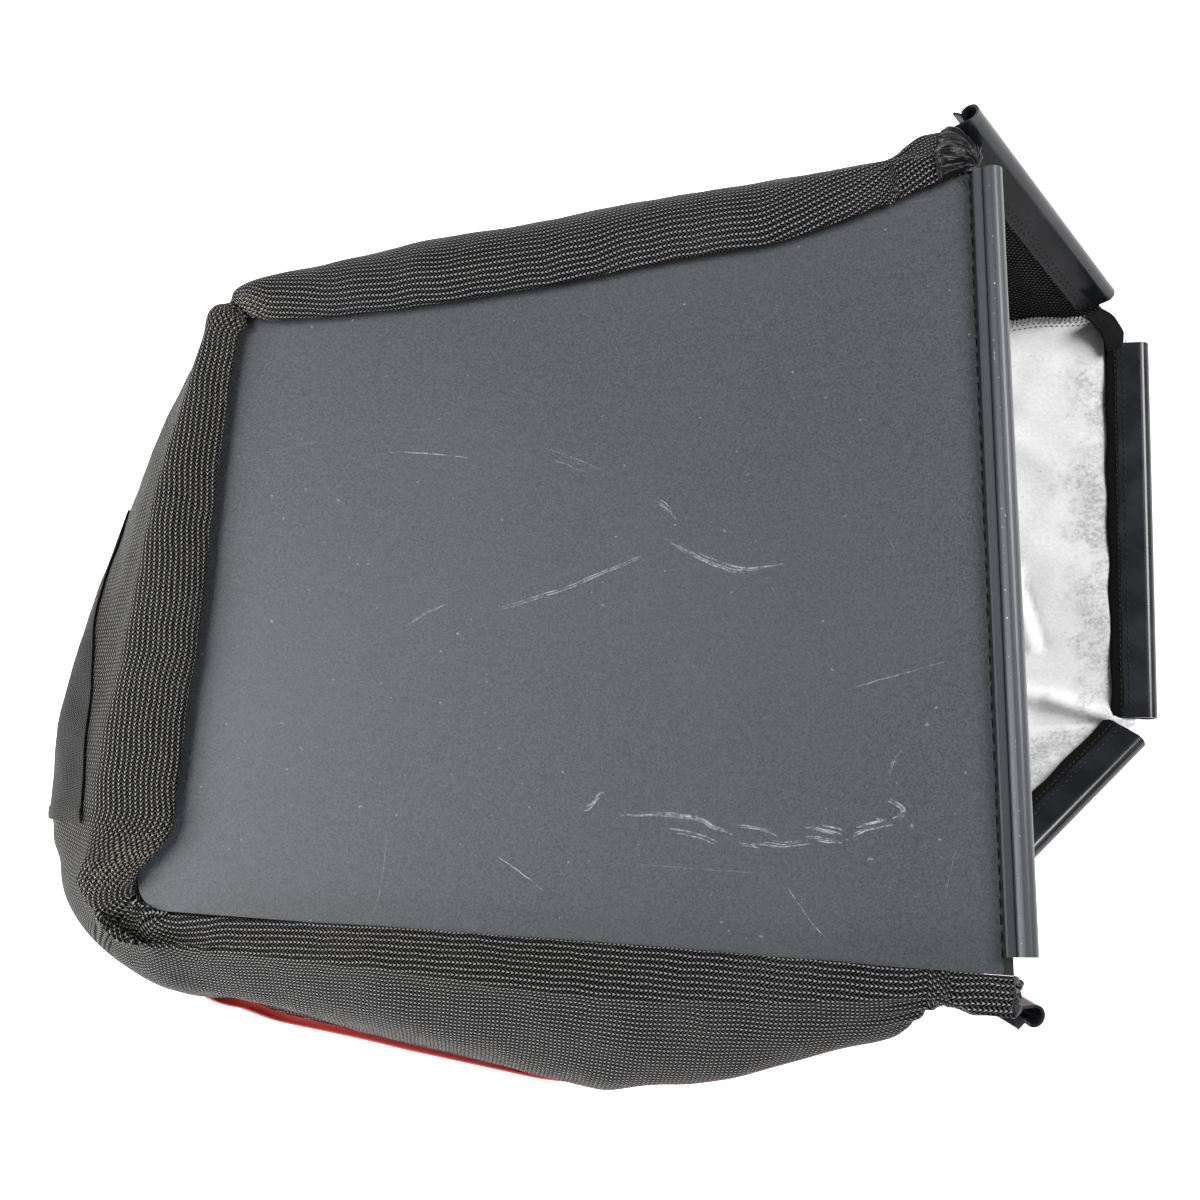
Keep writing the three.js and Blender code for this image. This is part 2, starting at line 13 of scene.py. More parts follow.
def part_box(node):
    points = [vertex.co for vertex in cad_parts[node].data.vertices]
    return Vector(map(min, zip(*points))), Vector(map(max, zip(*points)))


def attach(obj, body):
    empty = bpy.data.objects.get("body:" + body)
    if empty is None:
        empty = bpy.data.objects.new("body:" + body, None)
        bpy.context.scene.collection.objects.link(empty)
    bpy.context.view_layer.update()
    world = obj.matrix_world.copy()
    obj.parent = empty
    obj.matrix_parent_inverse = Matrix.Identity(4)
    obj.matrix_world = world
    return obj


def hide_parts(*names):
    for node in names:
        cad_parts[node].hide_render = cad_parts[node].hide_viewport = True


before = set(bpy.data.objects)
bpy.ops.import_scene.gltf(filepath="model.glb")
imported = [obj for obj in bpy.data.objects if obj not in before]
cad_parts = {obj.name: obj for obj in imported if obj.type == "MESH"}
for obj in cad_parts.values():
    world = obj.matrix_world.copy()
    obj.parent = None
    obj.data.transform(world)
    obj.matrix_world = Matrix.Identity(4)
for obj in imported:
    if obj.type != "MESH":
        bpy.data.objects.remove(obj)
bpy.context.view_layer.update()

# Sizes, millimetres
MOUTH_WIDTH, BACK_WIDTH = 428.0, 363.0
LONG_SIDE, SHORT_SIDE = 438.0, 482.0
EDGE_BAND, PLATE, BACK_RADIUS = 5.5, 2.0, 24.0
HEIGHT, MESH, COVER, LINING = 205.0, 1.6, 1.2, 1.0
LONG_INSET = 11.0
LONG_STRAIGHT, SHORT_STRAIGHT = (13.0, 44.0), (18.0, 42.0)
STITCH_PITCH = 8.2
KNIT_ALONG, KNIT_ACROSS = 3.2, 2.4
WEAVE_PITCH = 0.0011  # metres, as the shaders measure
CLIP_WALL, CLEARANCE = 1.5, 0.3
COVER_LAYERS = 3.0

low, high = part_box("floor_plate")
ORIGIN = np.array([high[0] * 1e3 - EDGE_BAND, (low[1] + high[1]) * 500, high[2] * 1e3])


def place(points):
    """row frame metres = (millimetres + the plate's stitch line) / 1000"""
    return (np.asarray(points, float) + ORIGIN) / 1000


def clamp(t, lo=0.0, hi=1.0):
    return np.minimum(hi, np.maximum(lo, t))


def smooth(t):
    """3 t^2 - 2 t^3 between 0 and 1"""
    t = clamp(t)
    return t * t * (3 - 2 * t)


def mix(a, b, t):
    return a + (b - a) * t


def bump(t, middle, width):
    """exp(-((t - middle) / width)^2)"""
    return np.exp(-(((t - middle) / width) ** 2))


def unit(v):
    return v / np.maximum(np.linalg.norm(v, axis=-1, keepdims=True), 1e-9)


def waves(a, b, count, shortest, longest, seed):
    """Sum over random directions d and phases p of sin(2 pi (d . (a, b)) / wavelength + p), about -1 to 1"""
    r = np.random.default_rng(seed)
    total = 0
    for _ in range(count):
        length = r.uniform(shortest, longest)
        turn, phase = r.uniform(0, 2 * np.pi, 2)
        total = total + np.sin(2 * np.pi * (a * np.cos(turn) + b * np.sin(turn)) / length + phase)
    return total / np.sqrt(count)


# Meshes from grids
def add_mesh(name, points, faces, look, uv=None, values=None, replaces=()):
    """A smooth mesh of quads from arrays; uv in millimetres and values one number per point"""
    data = bpy.data.meshes.new(name)
    faces = np.asarray(faces, np.int32).reshape(-1, 4)
    data.vertices.add(len(points))
    data.vertices.foreach_set("co", place(points).astype(np.float32).ravel())
    data.loops.add(faces.size)
    data.loops.foreach_set("vertex_index", faces.ravel())
    data.polygons.add(len(faces))
    data.polygons.foreach_set("loop_start", np.arange(0, faces.size, 4, dtype=np.int32))
    data.update(calc_edges=True)
    data.polygons.foreach_set("use_smooth", np.ones(len(faces), bool))
    if uv is not None:
        layer = data.uv_layers.new(name="UVMap")
        layer.uv.foreach_set("vector", (np.asarray(uv)[faces.ravel()] / 1000).astype(np.float32).ravel())
    for key, value in (values or {}).items():
        kept = data.attributes.new(key, "FLOAT", "POINT")
        kept.data.foreach_set("value", np.asarray(value, np.float32).ravel())
    data.validate()
    data.materials.append(look)
    obj = bpy.data.objects.new(name, data)
    bpy.context.scene.collection.objects.link(obj)
    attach(obj, "root")
    if replaces:
        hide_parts(*replaces)
    return obj


def grid_quads(rows, columns, start=0, around=False):
    """Quads of a grid of rows by columns points; around joins the last column to the first"""
    i = np.arange(rows - 1)[:, None] * columns
    j = np.arange(columns if around else columns - 1)[None, :]
    k = (j + 1) % columns
    return np.stack([i + j, i + columns + j, i + columns + k, i + k], -1).reshape(-1, 4) + start


def normals_of(grid):
    """dP/di x dP/dj, unit length"""
    return unit(np.cross(np.gradient(grid, axis=0), np.gradient(grid, axis=1)))


def distances(grid, axis):
    """Distance along the grid's lines, from its first line"""
    step = np.linalg.norm(np.diff(grid, axis=axis), axis=-1)
    zero = np.zeros_like(np.take(step, [0], axis=axis))
    return np.cumsum(np.concatenate([zero, step], axis=axis), axis=axis)


def sheet(name, grid, thickness, look, uv=None, values=None, lift=0.0, towards=None, replaces=()):
    """Closed sheet: the grid moved by lift along its normals, the grid moved by lift - thickness,
    and the rim between them. The grid is turned round where its normals point away from towards."""
    rows, columns = grid.shape[:2]
    if uv is None:
        uv = np.stack([distances(grid, 0), distances(grid, 1)], -1)
    values = dict(values or {})
    if towards is not None and (normals_of(grid).mean((0, 1)) * towards).sum() < 0:
        grid, uv = grid[:, ::-1], uv[:, ::-1]
        values = {k: v[:, ::-1] for k, v in values.items()}
    n = normals_of(grid)
    lift = np.broadcast_to(lift, grid.shape[:2])[..., None]
    front, back = grid + n * lift, grid + n * (lift - thickness)
    count = rows * columns
    index = np.arange(count).reshape(rows, columns)
    rim = np.concatenate([index[0, :], index[1:, -1], index[-1, -2::-1], index[-2:0:-1, 0]])
    turned = np.roll(rim, -1)
    edge = np.stack([rim, turned, turned + count, rim + count], -1)
    faces = np.concatenate([grid_quads(rows, columns), grid_quads(rows, columns, count)[:, ::-1], edge])
    points = np.concatenate([front.reshape(-1, 3), back.reshape(-1, 3)])
    both = lambda a: np.concatenate([a.reshape(count, -1)] * 2)
    values = {k: both(v) for k, v in values.items()}
    return add_mesh(name, points, faces, look, both(uv), values, replaces)


def tube(path, radius, sides):
    """Ring points = path + radius (side cos a + over sin a), side level and over square to the path"""
    t = unit(np.gradient(path, axis=0))
    side = np.cross(t, [0.0, 0.0, 1.0])
    side[np.linalg.norm(side, axis=1) < 1e-3] = [1.0, 0.0, 0.0]
    side = unit(side)
    over = np.cross(side, t)
    a = np.linspace(0, 2 * np.pi, sides, endpoint=False)
    ring = side[:, None, :] * np.cos(a)[None, :, None] + over[:, None, :] * np.sin(a)[None, :, None]
    return path[:, None, :] + ring * np.asarray(radius)[:, None, None]


def threads(name, paths, radius, look, sides=6):
    """Many closed tubes in one mesh, drawn in at their ends"""
    points, faces, count = [], [], 0
    for path in paths:
        path = np.asarray(path, float)
        r = np.full(len(path), radius, float)
        r[0] = r[-1] = radius * 0.25
        points.append(tube(path, r, sides).reshape(-1, 3))
        faces.append(grid_quads(len(path), sides, count, around=True))
        first = count + np.arange(sides)
        for cap in (first, (first + (len(path) - 1) * sides)[::-1]):
            faces += [np.array([[cap[0], cap[k + 1], cap[k + 2], cap[(k + 3) % sides]]])
                      for k in range(0, sides - 2, 2)]
        count += len(path) * sides
    return add_mesh(name, np.concatenate(points), np.concatenate(faces), look)


# Shaders
class Value:
    """One output of a node, with plain arithmetic on it"""

    def __init__(self, look, socket):
        self.look, self.socket = look, socket

    def math(self, operation, *others):
        node = self.look.add("ShaderNodeMath", {"operation": operation}, self, *others)
        return Value(self.look, node.outputs[0])

    __add__ = __radd__ = lambda a, b: a.math("ADD", b)
    __mul__ = __rmul__ = lambda a, b: a.math("MULTIPLY", b)
    __sub__ = lambda a, b: a.math("SUBTRACT", b)
    __rsub__ = lambda a, b: a * -1 + b
    __truediv__ = lambda a, b: a.math("DIVIDE", b)
    __pow__ = lambda a, b: a.math("POWER", b)
    __abs__ = lambda a: a.math("ABSOLUTE")
    fract = lambda a: a.math("FRACT")
    sin = lambda a: a.math("SINE")
    least = lambda a, b: a.math("MINIMUM", b)
    most = lambda a, b: a.math("MAXIMUM", b)

    def between(self, start, end):
        """0 below start, 1 above end, smooth in between"""
        settings = {"interpolation_type": "SMOOTHSTEP"}
        node = self.look.add("ShaderNodeMapRange", settings, self, start, end, 0.0, 1.0)
        return Value(self.look, node.outputs[0])


class Look:
    """A material with one Principled shader"""

    def __init__(self, name):
        self.material = bpy.data.materials.new(name)
        self.material.use_nodes = True
        self.nodes, self.links = self.material.node_tree.nodes, self.material.node_tree.links
        self.shader = next(n for n in self.nodes if n.type == "BSDF_PRINCIPLED")

    def set(self, name, value):
        self.wire(self.shader.inputs[name], value)

    def wire(self, socket, value):
        if isinstance(value, Value):
            self.links.new(value.socket, socket)
        elif isinstance(value, (tuple, list)) and socket.type == "RGBA":
            socket.default_value = (*value, 1.0)
        else:
            socket.default_value = value

    def add(self, kind, settings, *values, **named):
        """A node of any kind from its type, its settings and the values of its inputs"""
        node = self.nodes.new(kind)
        for key, value in settings.items():
            setattr(node, key, value)
        for key, value in [*enumerate(values), *named.items()]:
            self.wire(node.inputs[key], value)
        return node

    def out(self, kind, output, settings=None, *values, **named):
        return Value(self, self.add(kind, settings or {}, *values, **named).outputs[output])

    def position(self):
        return self.out("ShaderNodeTexCoord", "Object")

    def uv(self):
        return self.out("ShaderNodeTexCoord", "UV")

    def attribute(self, name):
        return self.out("ShaderNodeAttribute", "Fac", {"attribute_name": name})

    def split(self, vector):
        return [Value(self, o) for o in self.add("ShaderNodeSeparateXYZ", {}, vector).outputs]

    def join(self, x, y, z=0.0):
        return self.out("ShaderNodeCombineXYZ", 0, {}, x, y, z)

    def noise(self, vector, scale, detail=2.0, rough=0.5):
        values = {"Vector": vector, "Scale": scale, "Detail": detail, "Roughness": rough}
        return self.out("ShaderNodeTexNoise", 0, {}, **values)

    def colours(self, factor, a, b):
        node = self.add("ShaderNodeMix", {"data_type": "RGBA"})
        for socket, value in ((0, factor), (6, a), (7, b)):
            self.wire(node.inputs[socket], value)
        return Value(self, node.outputs[2])

    def bumps(self, height, strength, distance):
        """Distance in metres"""
        return self.out("ShaderNodeBump", 0, {}, Height=height, Strength=strength, Distance=distance)


def knit(u, v, along, across):
    """Zigzag yarn. fold = |2 fract(u) - 1| runs down and up along a strand, whose middle is
    where fract(v + 0.95 fold) = 0.5 and ridge = 1 - (distance / half width)^2; turn is 1 where the
    yarn turns at the foot of each V, where mesh_look paints a highlight"""
    fold = abs((u / along).fract() * 2 - 1)
    turn = 1 - fold.between(0.0, 0.5)
    d = abs((v / across + fold * 0.95).fract() - 0.5)
    return (1 - (d * (3.3 - turn * 1.2)) ** 2).most(0.0), turn


def mesh_look(name, along, across, light=1.0, dust_and_shade=1.0):
    look = Look(name)
    u, v, _ = look.split(look.uv())
    spot = look.position()
    drift = (look.noise(spot, 70.0, 2.0) - 0.5) * 0.0022
    ridge, turn = knit(v + drift, u + drift * 0.7, along / 1000, across / 1000)
    fibre = look.noise(spot, 1900.0, 2.0, 0.6)
    cloudy = look.noise(spot, 11.0, 3.0)
    yarn = look.colours(fibre.between(0.3, 0.7), (0.008 * light,) * 3, (0.050 * light,) * 3)
    # Painted highlight: the yarn at the foot of each V is painted light grey, standing in for the glint it
    # catches
    yarn = look.colours(turn * ridge * 0.8, yarn, (0.32 * light, 0.317 * light, 0.31 * light))
    yarn = look.colours(cloudy.between(0.45, 0.72) * 0.3, yarn, (0.12 * light,) * 3)
    # Painted shade: the gaps between the strands are painted near-black, darker than the yarn, for the shade in
    # the knit's holes
    cloth = look.colours(ridge.between(0.35, 0.85), (0.0006, 0.0006, 0.0007), yarn)
    grime = look.attribute("dust_and_shade") + look.noise(spot, 45.0, 4.0, 0.7).between(0.60, 0.80) * 0.15
    grime = grime * ridge.between(0.45, 0.95) * look.noise(spot, 700.0, 2.0).between(0.42, 0.64) * dust_and_shade
    look.set("Base Color", look.colours(grime.least(0.9), cloth, (0.36, 0.33, 0.26)))
    look.set("Roughness", 0.95 - ridge * 0.6)
    look.set("Specular IOR Level", 0.04)
    look.set("Normal", look.bumps(ridge ** 0.5 + fibre * 0.10, 1.0, 0.0009))
    return look.material


def plate_look():
    """The strip between the stitch line and the clip is painted nearly black: a painted shadow of the gap
    between the plate's edge and the clip
    """
    look = Look("plate_sheet")
    spot = look.position()
    x, y, _ = look.split(spot)
    grain = look.noise(spot, 1100.0, 3.0, 0.65)
    fine = look.noise(spot, 420.0, 2.0)
    cloudy = look.noise(spot, 5.5, 3.0)
    base = look.colours(grain.between(0.3, 0.7), (0.018, 0.020, 0.024), (0.050, 0.054, 0.064))
    base = look.colours(cloudy.between(0.35, 0.7) * 0.3, base, (0.050, 0.055, 0.065))
    dots = look.noise(spot, 230.0, 1.0).between(0.765, 0.79) * 0.35
    hairs = look.noise(look.join(x + y * 0.4, y * 14.0), 22.0, 2.0).between(0.72, 0.75) * 0.06
    base = look.colours((dots + hairs).least(1.0), base, (0.26, 0.27, 0.29))
    seam = float(ORIGIN[0]) / 1000
    # Painted shadow: past the stitch line the plate is painted nearly black for the shade in the gap under the
    # clip
    painted_shadow_band = (x + (look.noise(spot, 300.0, 1.0) - 0.5) * 0.002).between(seam, seam + 0.0008)
    look.set("Base Color", look.colours(painted_shadow_band * 0.92, base, (0.004, 0.004, 0.005)))
    look.set("Specular IOR Level", 0.4)
    look.set("Roughness", 0.42 + fine * 0.10 + cloudy * 0.08)
    look.set("Normal", look.bumps(grain * 0.6 + fine * 0.4, 0.55, 0.0004))
    return look.material


def clip_look():
    """The floor clip, high up and past the stitch line, is painted lighter as a painted sheen and is rougher,
    with flecks in one line along its channel"""
    look = Look("clip_plastic")
    spot = look.position()
    x, _, z = look.split(spot)
    streaks = look.noise(spot, 40.0, 3.0)
    scuffs = look.noise(spot, 420.0, 4.0, 0.75)
    base = look.colours(streaks.between(0.35, 0.7), (0.007, 0.0075, 0.010), (0.017, 0.018, 0.023))
    seam, floor_clip = float(ORIGIN[0]) / 1000, (0.192, 0.200)
    # Painted sheen: the floor clip's channel is painted a lighter grey to stand in for the broad highlight the
    # lamps give too weakly
    painted_sheen_area = z.between(*floor_clip) * x.between(seam + 0.001, seam + 0.003)
    base = look.colours(painted_sheen_area, base, (0.040, 0.042, 0.050))
    line = 1 - abs(x - float(ORIGIN[0] + 10.5) / 1000).between(0.0006, 0.0016)
    flecks = line * z.between(0.190, 0.195) * look.noise(spot, 480.0, 2.0).between(0.66, 0.72)
    worn = scuffs.between(0.72, 0.78) * look.noise(spot, 60.0, 2.0).between(0.5, 0.65) * 0.6
    look.set("Base Color", look.colours((flecks * 0.8 + worn).least(1.0), base, (0.36, 0.37, 0.38)))
    look.set("Specular IOR Level", 0.4)
    look.set("Roughness", 0.17 + streaks * 0.12 + worn * 0.3 + painted_sheen_area * 0.14)
    look.set("Normal", look.bumps(look.noise(spot, 90.0, 2.0), 0.10, 0.0006))
    return look.material


def red_look():
    look = Look("red_cloth")
    look.set("Sheen Weight", 0.2)
    u, v, _ = look.split(look.uv())
    weave = ((u * (2 * np.pi / WEAVE_PITCH)).sin() * (v * (2 * np.pi / WEAVE_PITCH)).sin()) * 0.5 + 0.5
    cloudy = look.noise(look.position(), 14.0, 3.0)
    base = look.colours(weave, (0.50, 0.020, 0.017), (0.74, 0.040, 0.032))
    look.set("Base Color", look.colours(cloudy.between(0.5, 0.75) * 0.3, base, (0.62, 0.07, 0.05)))
    look.set("Roughness", 0.66 - weave * 0.1)
    look.set("Normal", look.bumps(weave, 0.5, 0.0003))
    return look.material


def lining_look():
    look = Look("white_fleece")
    look.set("Sheen Weight", 0.2)
    look.set("Roughness", 0.95)
    spot = look.position()
    fuzz = look.noise(spot, 420.0, 5.0, 0.72)
    fibre = look.noise(spot, 1700.0, 3.0, 0.7)
    marbled = look.noise(spot, 26.0, 7.0, 0.72)
    stains_and_shade = look.attribute("dust_and_shade")
    veins = 1 - abs(look.noise(spot, 34.0, 4.0, 0.6) - 0.5).between(0.0, 0.05)
    base = look.colours(fuzz.between(0.3, 0.7), (0.86, 0.86, 0.86), (0.97, 0.97, 0.97))
    grey = look.colours(fibre.between(0.35, 0.6), (0.11, 0.11, 0.11), (0.40, 0.40, 0.395))
    # Grey stains from marbled noise where the point attribute is high; the same grey also paints shade along
    # one crease
    stains_and_shade_mask = (marbled + stains_and_shade * 0.40 - 0.33 + veins * stains_and_shade * 0.12).between(0.34, 0.62) * 0.75
    base = look.colours((stains_and_shade_mask * fuzz.between(0.28, 0.66)).least(0.92), base, grey)
    specks = look.noise(spot, 190.0, 3.0, 0.7).between(0.66, 0.72)
    look.set("Base Color", look.colours(specks * 0.35, base, (0.16, 0.16, 0.16)))
    look.set("Normal", look.bumps(fuzz + fibre * 0.4, 0.35, 0.0009))
    return look.material


def tape_look(name, rough, pale, shine):
    look = Look(name)
    look.set("Roughness", rough)
    look.set("Specular IOR Level", shine)
    u, _, _ = look.split(look.uv())
    rib = (u * (2 * np.pi / WEAVE_PITCH)).sin() * 0.5 + 0.5
    fuzz = look.noise(look.position(), 900.0, 3.0, 0.7)
    look.set("Base Color", look.colours(rib * fuzz, (0.003, 0.003, 0.0034), (pale, pale, pale * 1.04)))
    look.set("Normal", look.bumps(rib * 0.6 + fuzz, 0.6, 0.0004))
    return look.material


def thread_look(name, dark, pale):
    look = Look(name)
    look.set("Roughness", 0.7)
    spot = look.position()
    look.set("Base Color", look.colours(look.noise(spot, 1500.0, 2.0), (dark,) * 3, (pale,) * 3))
    look.set("Normal", look.bumps(look.noise(spot, 2200.0, 2.0), 0.5, 0.0003))
    return look.material


def scratch_look():
    look = Look("plate_scratches")
    look.set("Roughness", 0.7)
    spot = look.position()
    broken = look.noise(spot, 300.0, 4.0, 0.7).between(0.32, 0.62)
    look.set("Base Color", look.colours(broken, (0.20, 0.21, 0.225), (0.46, 0.47, 0.49)))
    look.set("Alpha", (broken * look.attribute("fade")).least(1.0))
    return look.material


MESH_LOOK = mesh_look("coarse_mesh", KNIT_ALONG, KNIT_ACROSS)
PATCH_LOOK = mesh_look("patch_weave", 2.3, 1.5, light=0.75, dust_and_shade=0.4)
PLATE_LOOK, CLIP_LOOK, RED_LOOK = plate_look(), clip_look(), red_look()
LINING_LOOK, SCRATCH_LOOK = lining_look(), scratch_look()
TAPE_LOOK, TAB_LOOK = tape_look("black_tape", 0.9, 0.012, 0.08), tape_look("tab_ribbon", 0.30, 0.007, 0.3)
BLACK_THREAD = thread_look("black_thread", 0.003, 0.018)
WHITE_THREAD = thread_look("white_thread", 0.62, 0.92)

CLIPS = ("clip_floor_edge", "clip_long_side", "clip_top_edge", "clip_diagonal", "clip_short_side")
for name in ("floor_plate", *CLIPS):
    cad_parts[name].data.materials.clear()
    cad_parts[name].data.materials.append(PLATE_LOOK if name == "floor_plate" else CLIP_LOOK)


# The plate's rim from the mouth on the long side round the back to the mouth on the short side
def rim_line():
    corner = np.array([
        [EDGE_BAND, MOUTH_WIDTH / 2], [-LONG_SIDE, BACK_WIDTH / 2],
        [-SHORT_SIDE, -BACK_WIDTH / 2], [EDGE_BAND, -MOUTH_WIDTH / 2],
    ])
    points, marks = [corner[0]], []
    for i in (1, 2):
        before = corner[i] + unit(corner[i - 1] - corner[i]) * BACK_RADIUS
        after = corner[i] + unit(corner[i + 1] - corner[i]) * BACK_RADIUS
        t = np.linspace(0, 1, 40)[:, None]
        marks.append((len(points), len(points) + 39))
        points += list((1 - t) ** 2 * before + 2 * t * (1 - t) * corner[i] + t * t * after)
    points = np.array([*points, corner[3]])
    at = distances(points, 0)
    return points, at, [(at[a] + at[b]) / 2 for a, b in marks]


RIM, RIM_AT, (LONG_CORNER, SHORT_CORNER) = rim_line()
RIM_END = RIM_AT[-1]
BACK = SHORT_CORNER - LONG_CORNER


def rim_at(at):
    """Point and outward direction at a distance along the rim, the direction averaged over 8 mm"""
    point, a, b = (
        np.stack([np.interp(clamp(at + step, 0, RIM_END), RIM_AT, RIM[:, k]) for k in (0, 1)], -1)
        for step in (0, -4, 4)
    )
    t = unit(b - a)
    return point, np.stack([t[:, 1], -t[:, 0]], -1)


def on_short_side(share):
    return mix(SHORT_CORNER, RIM_END, share)


# How the cloth hangs: distance along the rim, then how far it rolls over the plate, the roll's
# height, and how far it stands out 40 below the plate, 90 below it and at its foot
HANG = np.array([
    [0, 1, 7, 30, 22, -10],
    [LONG_INSET + 17, 8, 9, 32, 24, -10],
    [LONG_CORNER * 0.26, 23, 13, 34, 42, -4],
    [LONG_CORNER * 0.68, 27, 16, 32, 40, 12],
    [LONG_CORNER - 25, 20, 14, 26, 38, 22],
    [LONG_CORNER, 13, 12, 26, 38, 28],
    [LONG_CORNER + 25, 10, 15, 38, 52, 46],
    [LONG_CORNER + BACK * 0.27, 13, 18, 64, 84, 72],
    [LONG_CORNER + BACK * 0.5, 14, 20, 81, 102, 88],
    [LONG_CORNER + BACK * 0.72, 17, 20, 91, 114, 98],
    [SHORT_CORNER - 40, 18, 18, 88, 108, 92],
    [SHORT_CORNER - 22, 8, 16, 80, 98, 85],
    [SHORT_CORNER - 8, -9, 12, 66, 79, 70],
    [SHORT_CORNER + 5, -14, -14, 49, 56, 50],
    [SHORT_CORNER + 22, -6, -8, 44, 49, 50],
    [on_short_side(0.1), -2, 3, 46, 54, 57],
    [on_short_side(0.3), 0, 9, 57, 66, 68],
    [on_short_side(0.6), 0, 9, 73, 81, 79],
    [on_short_side(0.75), 0, 8, 62, 68, 65],
    [on_short_side(0.86), 0, 8, 45, 45, 38],
    [on_short_side(0.935), 0, 9, 32, 20, 14],
    [RIM_END - 18, 0, 10, 10, -1, -3],
    [RIM_END, 0, 10, 10, -1, -3],
])
TABLE_AT = np.arange(0, RIM_END + 1, 1.0)


def hang(column, at, soft=5.0):
    """The table's column between its stations, evened out with a bell curve of width soft"""
    line = np.interp(TABLE_AT, HANG[:, 0], HANG[:, column])
    bell = np.exp(-((np.arange(-3 * soft, 3 * soft + 1) / soft) ** 2) / 2)
    wide = np.pad(line, len(bell) // 2, mode="edge")
    return np.interp(at, TABLE_AT, np.convolve(wide, bell / bell.sum(), mode="valid"))


BEND_AT = LONG_CORNER + BACK * 0.7
BEND, CORNER_SHARE = 0.62, 0.09
SEAM_DEPTH, SEAM_DROP = 96.0, 4.5
TOP_REACH, TOP_REACH_LOW, TOP_Y, TOP_END_Y = 92.0, 83.0, 180.0, -68.0
LIFT, LIFT_RUN = 13.0, 110.0
LONG_LEAN, SHORT_LEAN = 84.0, -125.0
LONG_RETREAT = 8.0
PLEAT_PITCH, TAB_PLEAT_PITCH = 12.5, 7.5
BELLY, ROLL_AT, ROLL_WIDTH = 26.0, 0.925, 0.07
ROLL_BACK, ROLL_LESS = 22.0, 10.0


def lift_at(x):
    """The cover's mouth edge stands LIFT off the ground: LIFT smooth((x - TOP_REACH + LIFT_RUN) / LIFT_RUN)"""
    return LIFT * smooth((x - (TOP_REACH - LIFT_RUN)) / LIFT_RUN)


def foot_depth(at):
    """On the ground, then up the back wall's sloping edge to the flank's seam"""
    return mix(HEIGHT - COVER - CLEARANCE, SEAM_DEPTH, clamp((at - BEND_AT) / (SHORT_CORNER - BEND_AT)))


def spline(control, t):
    """Catmull-Rom curve through control (A, C, 2) at shares t of its length in control points"""
    last = control.shape[1] - 1
    i = np.minimum((t * last).astype(int), last - 1)
    w = (t * last - i)[None, :, None]
    p0, p1 = control[:, np.maximum(i - 1, 0)], control[:, i]
    p2, p3 = control[:, i + 1], control[:, np.minimum(i + 2, last)]
    v0, v1 = (p2 - p0) / 2, (p3 - p1) / 2
    return (2 * p1 - 2 * p2 + v0 + v1) * w**3 + (-3 * p1 + 3 * p2 - 2 * v0 - v1) * w**2 + v0 * w + p1


def wall_surface(at, steps):
    """Wall points P(at, s): the section's spline (hem, roll over the plate's rim, side, foot) set on
    the rim, near the mouth blended to the straight edge that the clip holds, and leant with depth"""
    over, crest, side, bulge, foot = (hang(k, at) for k in range(1, 6))
    depth = foot_depth(at)
    short = at > SHORT_CORNER
    straight_to, hangs_from = (np.where(short, a, b) for a, b in zip(SHORT_STRAIGHT, LONG_STRAIGHT))
    from_mouth = np.minimum(at - LONG_INSET, RIM_END - at)
    straight = 1 - smooth((from_mouth - straight_to) / (hangs_from - straight_to))
    under = -PLATE - CLEARANCE
    pair = lambda a, b: np.stack([np.broadcast_to(a, at.shape), np.broadcast_to(b, at.shape)], -1)
    control = np.stack([
        pair(2.6, 0.8),
        pair(np.minimum(2, 4 - over), 2.8 + np.minimum(0, crest) * 0.3),
        pair(-over, 3 + crest * 0.35),
        pair(mix(-over, side, 0.33), crest),
        pair(side * 0.46, crest * 0.15),
        pair(side, -40),
        pair(bulge, -np.minimum(90, depth - 8)),
        pair(foot, -depth),
    ], 1)
    hem = np.stack([pair(-mix(12, -1, clamp(straight * 2)), under), pair(2.2, under)], 1)
    flat = mix(hem[:, :1], hem[:, 1:], np.linspace(0, 1, 8)[None, :, None])
    line = np.concatenate([flat, spline(control, np.linspace(0, 1, 150))], 1)
    length = distances(line, 1)
    share = np.linspace(0, 1, steps)
    out, up = (
        np.stack([np.interp(share * l[-1], l, p[:, k]) for l, p in zip(length, line)]) for k in (0, 1)
    )
    past_crest = share[None, :] > (length[:, 72] / length[:, -1])[:, None]
    base, outward = rim_at(at)
    drop = np.maximum(0, -up)
    short, straight = short[:, None], straight[:, None]
    edge = np.where(short, 20 - 0.3 * drop, 38 - 0.27 * (drop - 9))
    hold = np.where(short, smooth((10 - up) / 4), smooth((-2 - up) / 16)) * straight * past_crest
    out = mix(out, edge, hold)
    lean = np.where(
        at > SHORT_CORNER,
        SHORT_LEAN * smooth((at - SHORT_CORNER) / (RIM_END - SHORT_STRAIGHT[0] - SHORT_CORNER)),
        LONG_LEAN * smooth((LONG_CORNER - at) / (LONG_CORNER - LONG_INSET - LONG_STRAIGHT[0])),
    )[:, None] / HEIGHT
    retreat = np.where(short, 0, straight * LONG_RETREAT * smooth((33 - drop) / 14))
    x = base[:, :1] + outward[:, :1] * out + lean * drop - retreat
    y = base[:, 1:] + outward[:, 1:] * out
    foot_share = smooth((drop - depth[:, None] + 60) / 60)
    return np.stack([x, y, up + np.where(short, 0, lift_at(x) * foot_share)], -1)


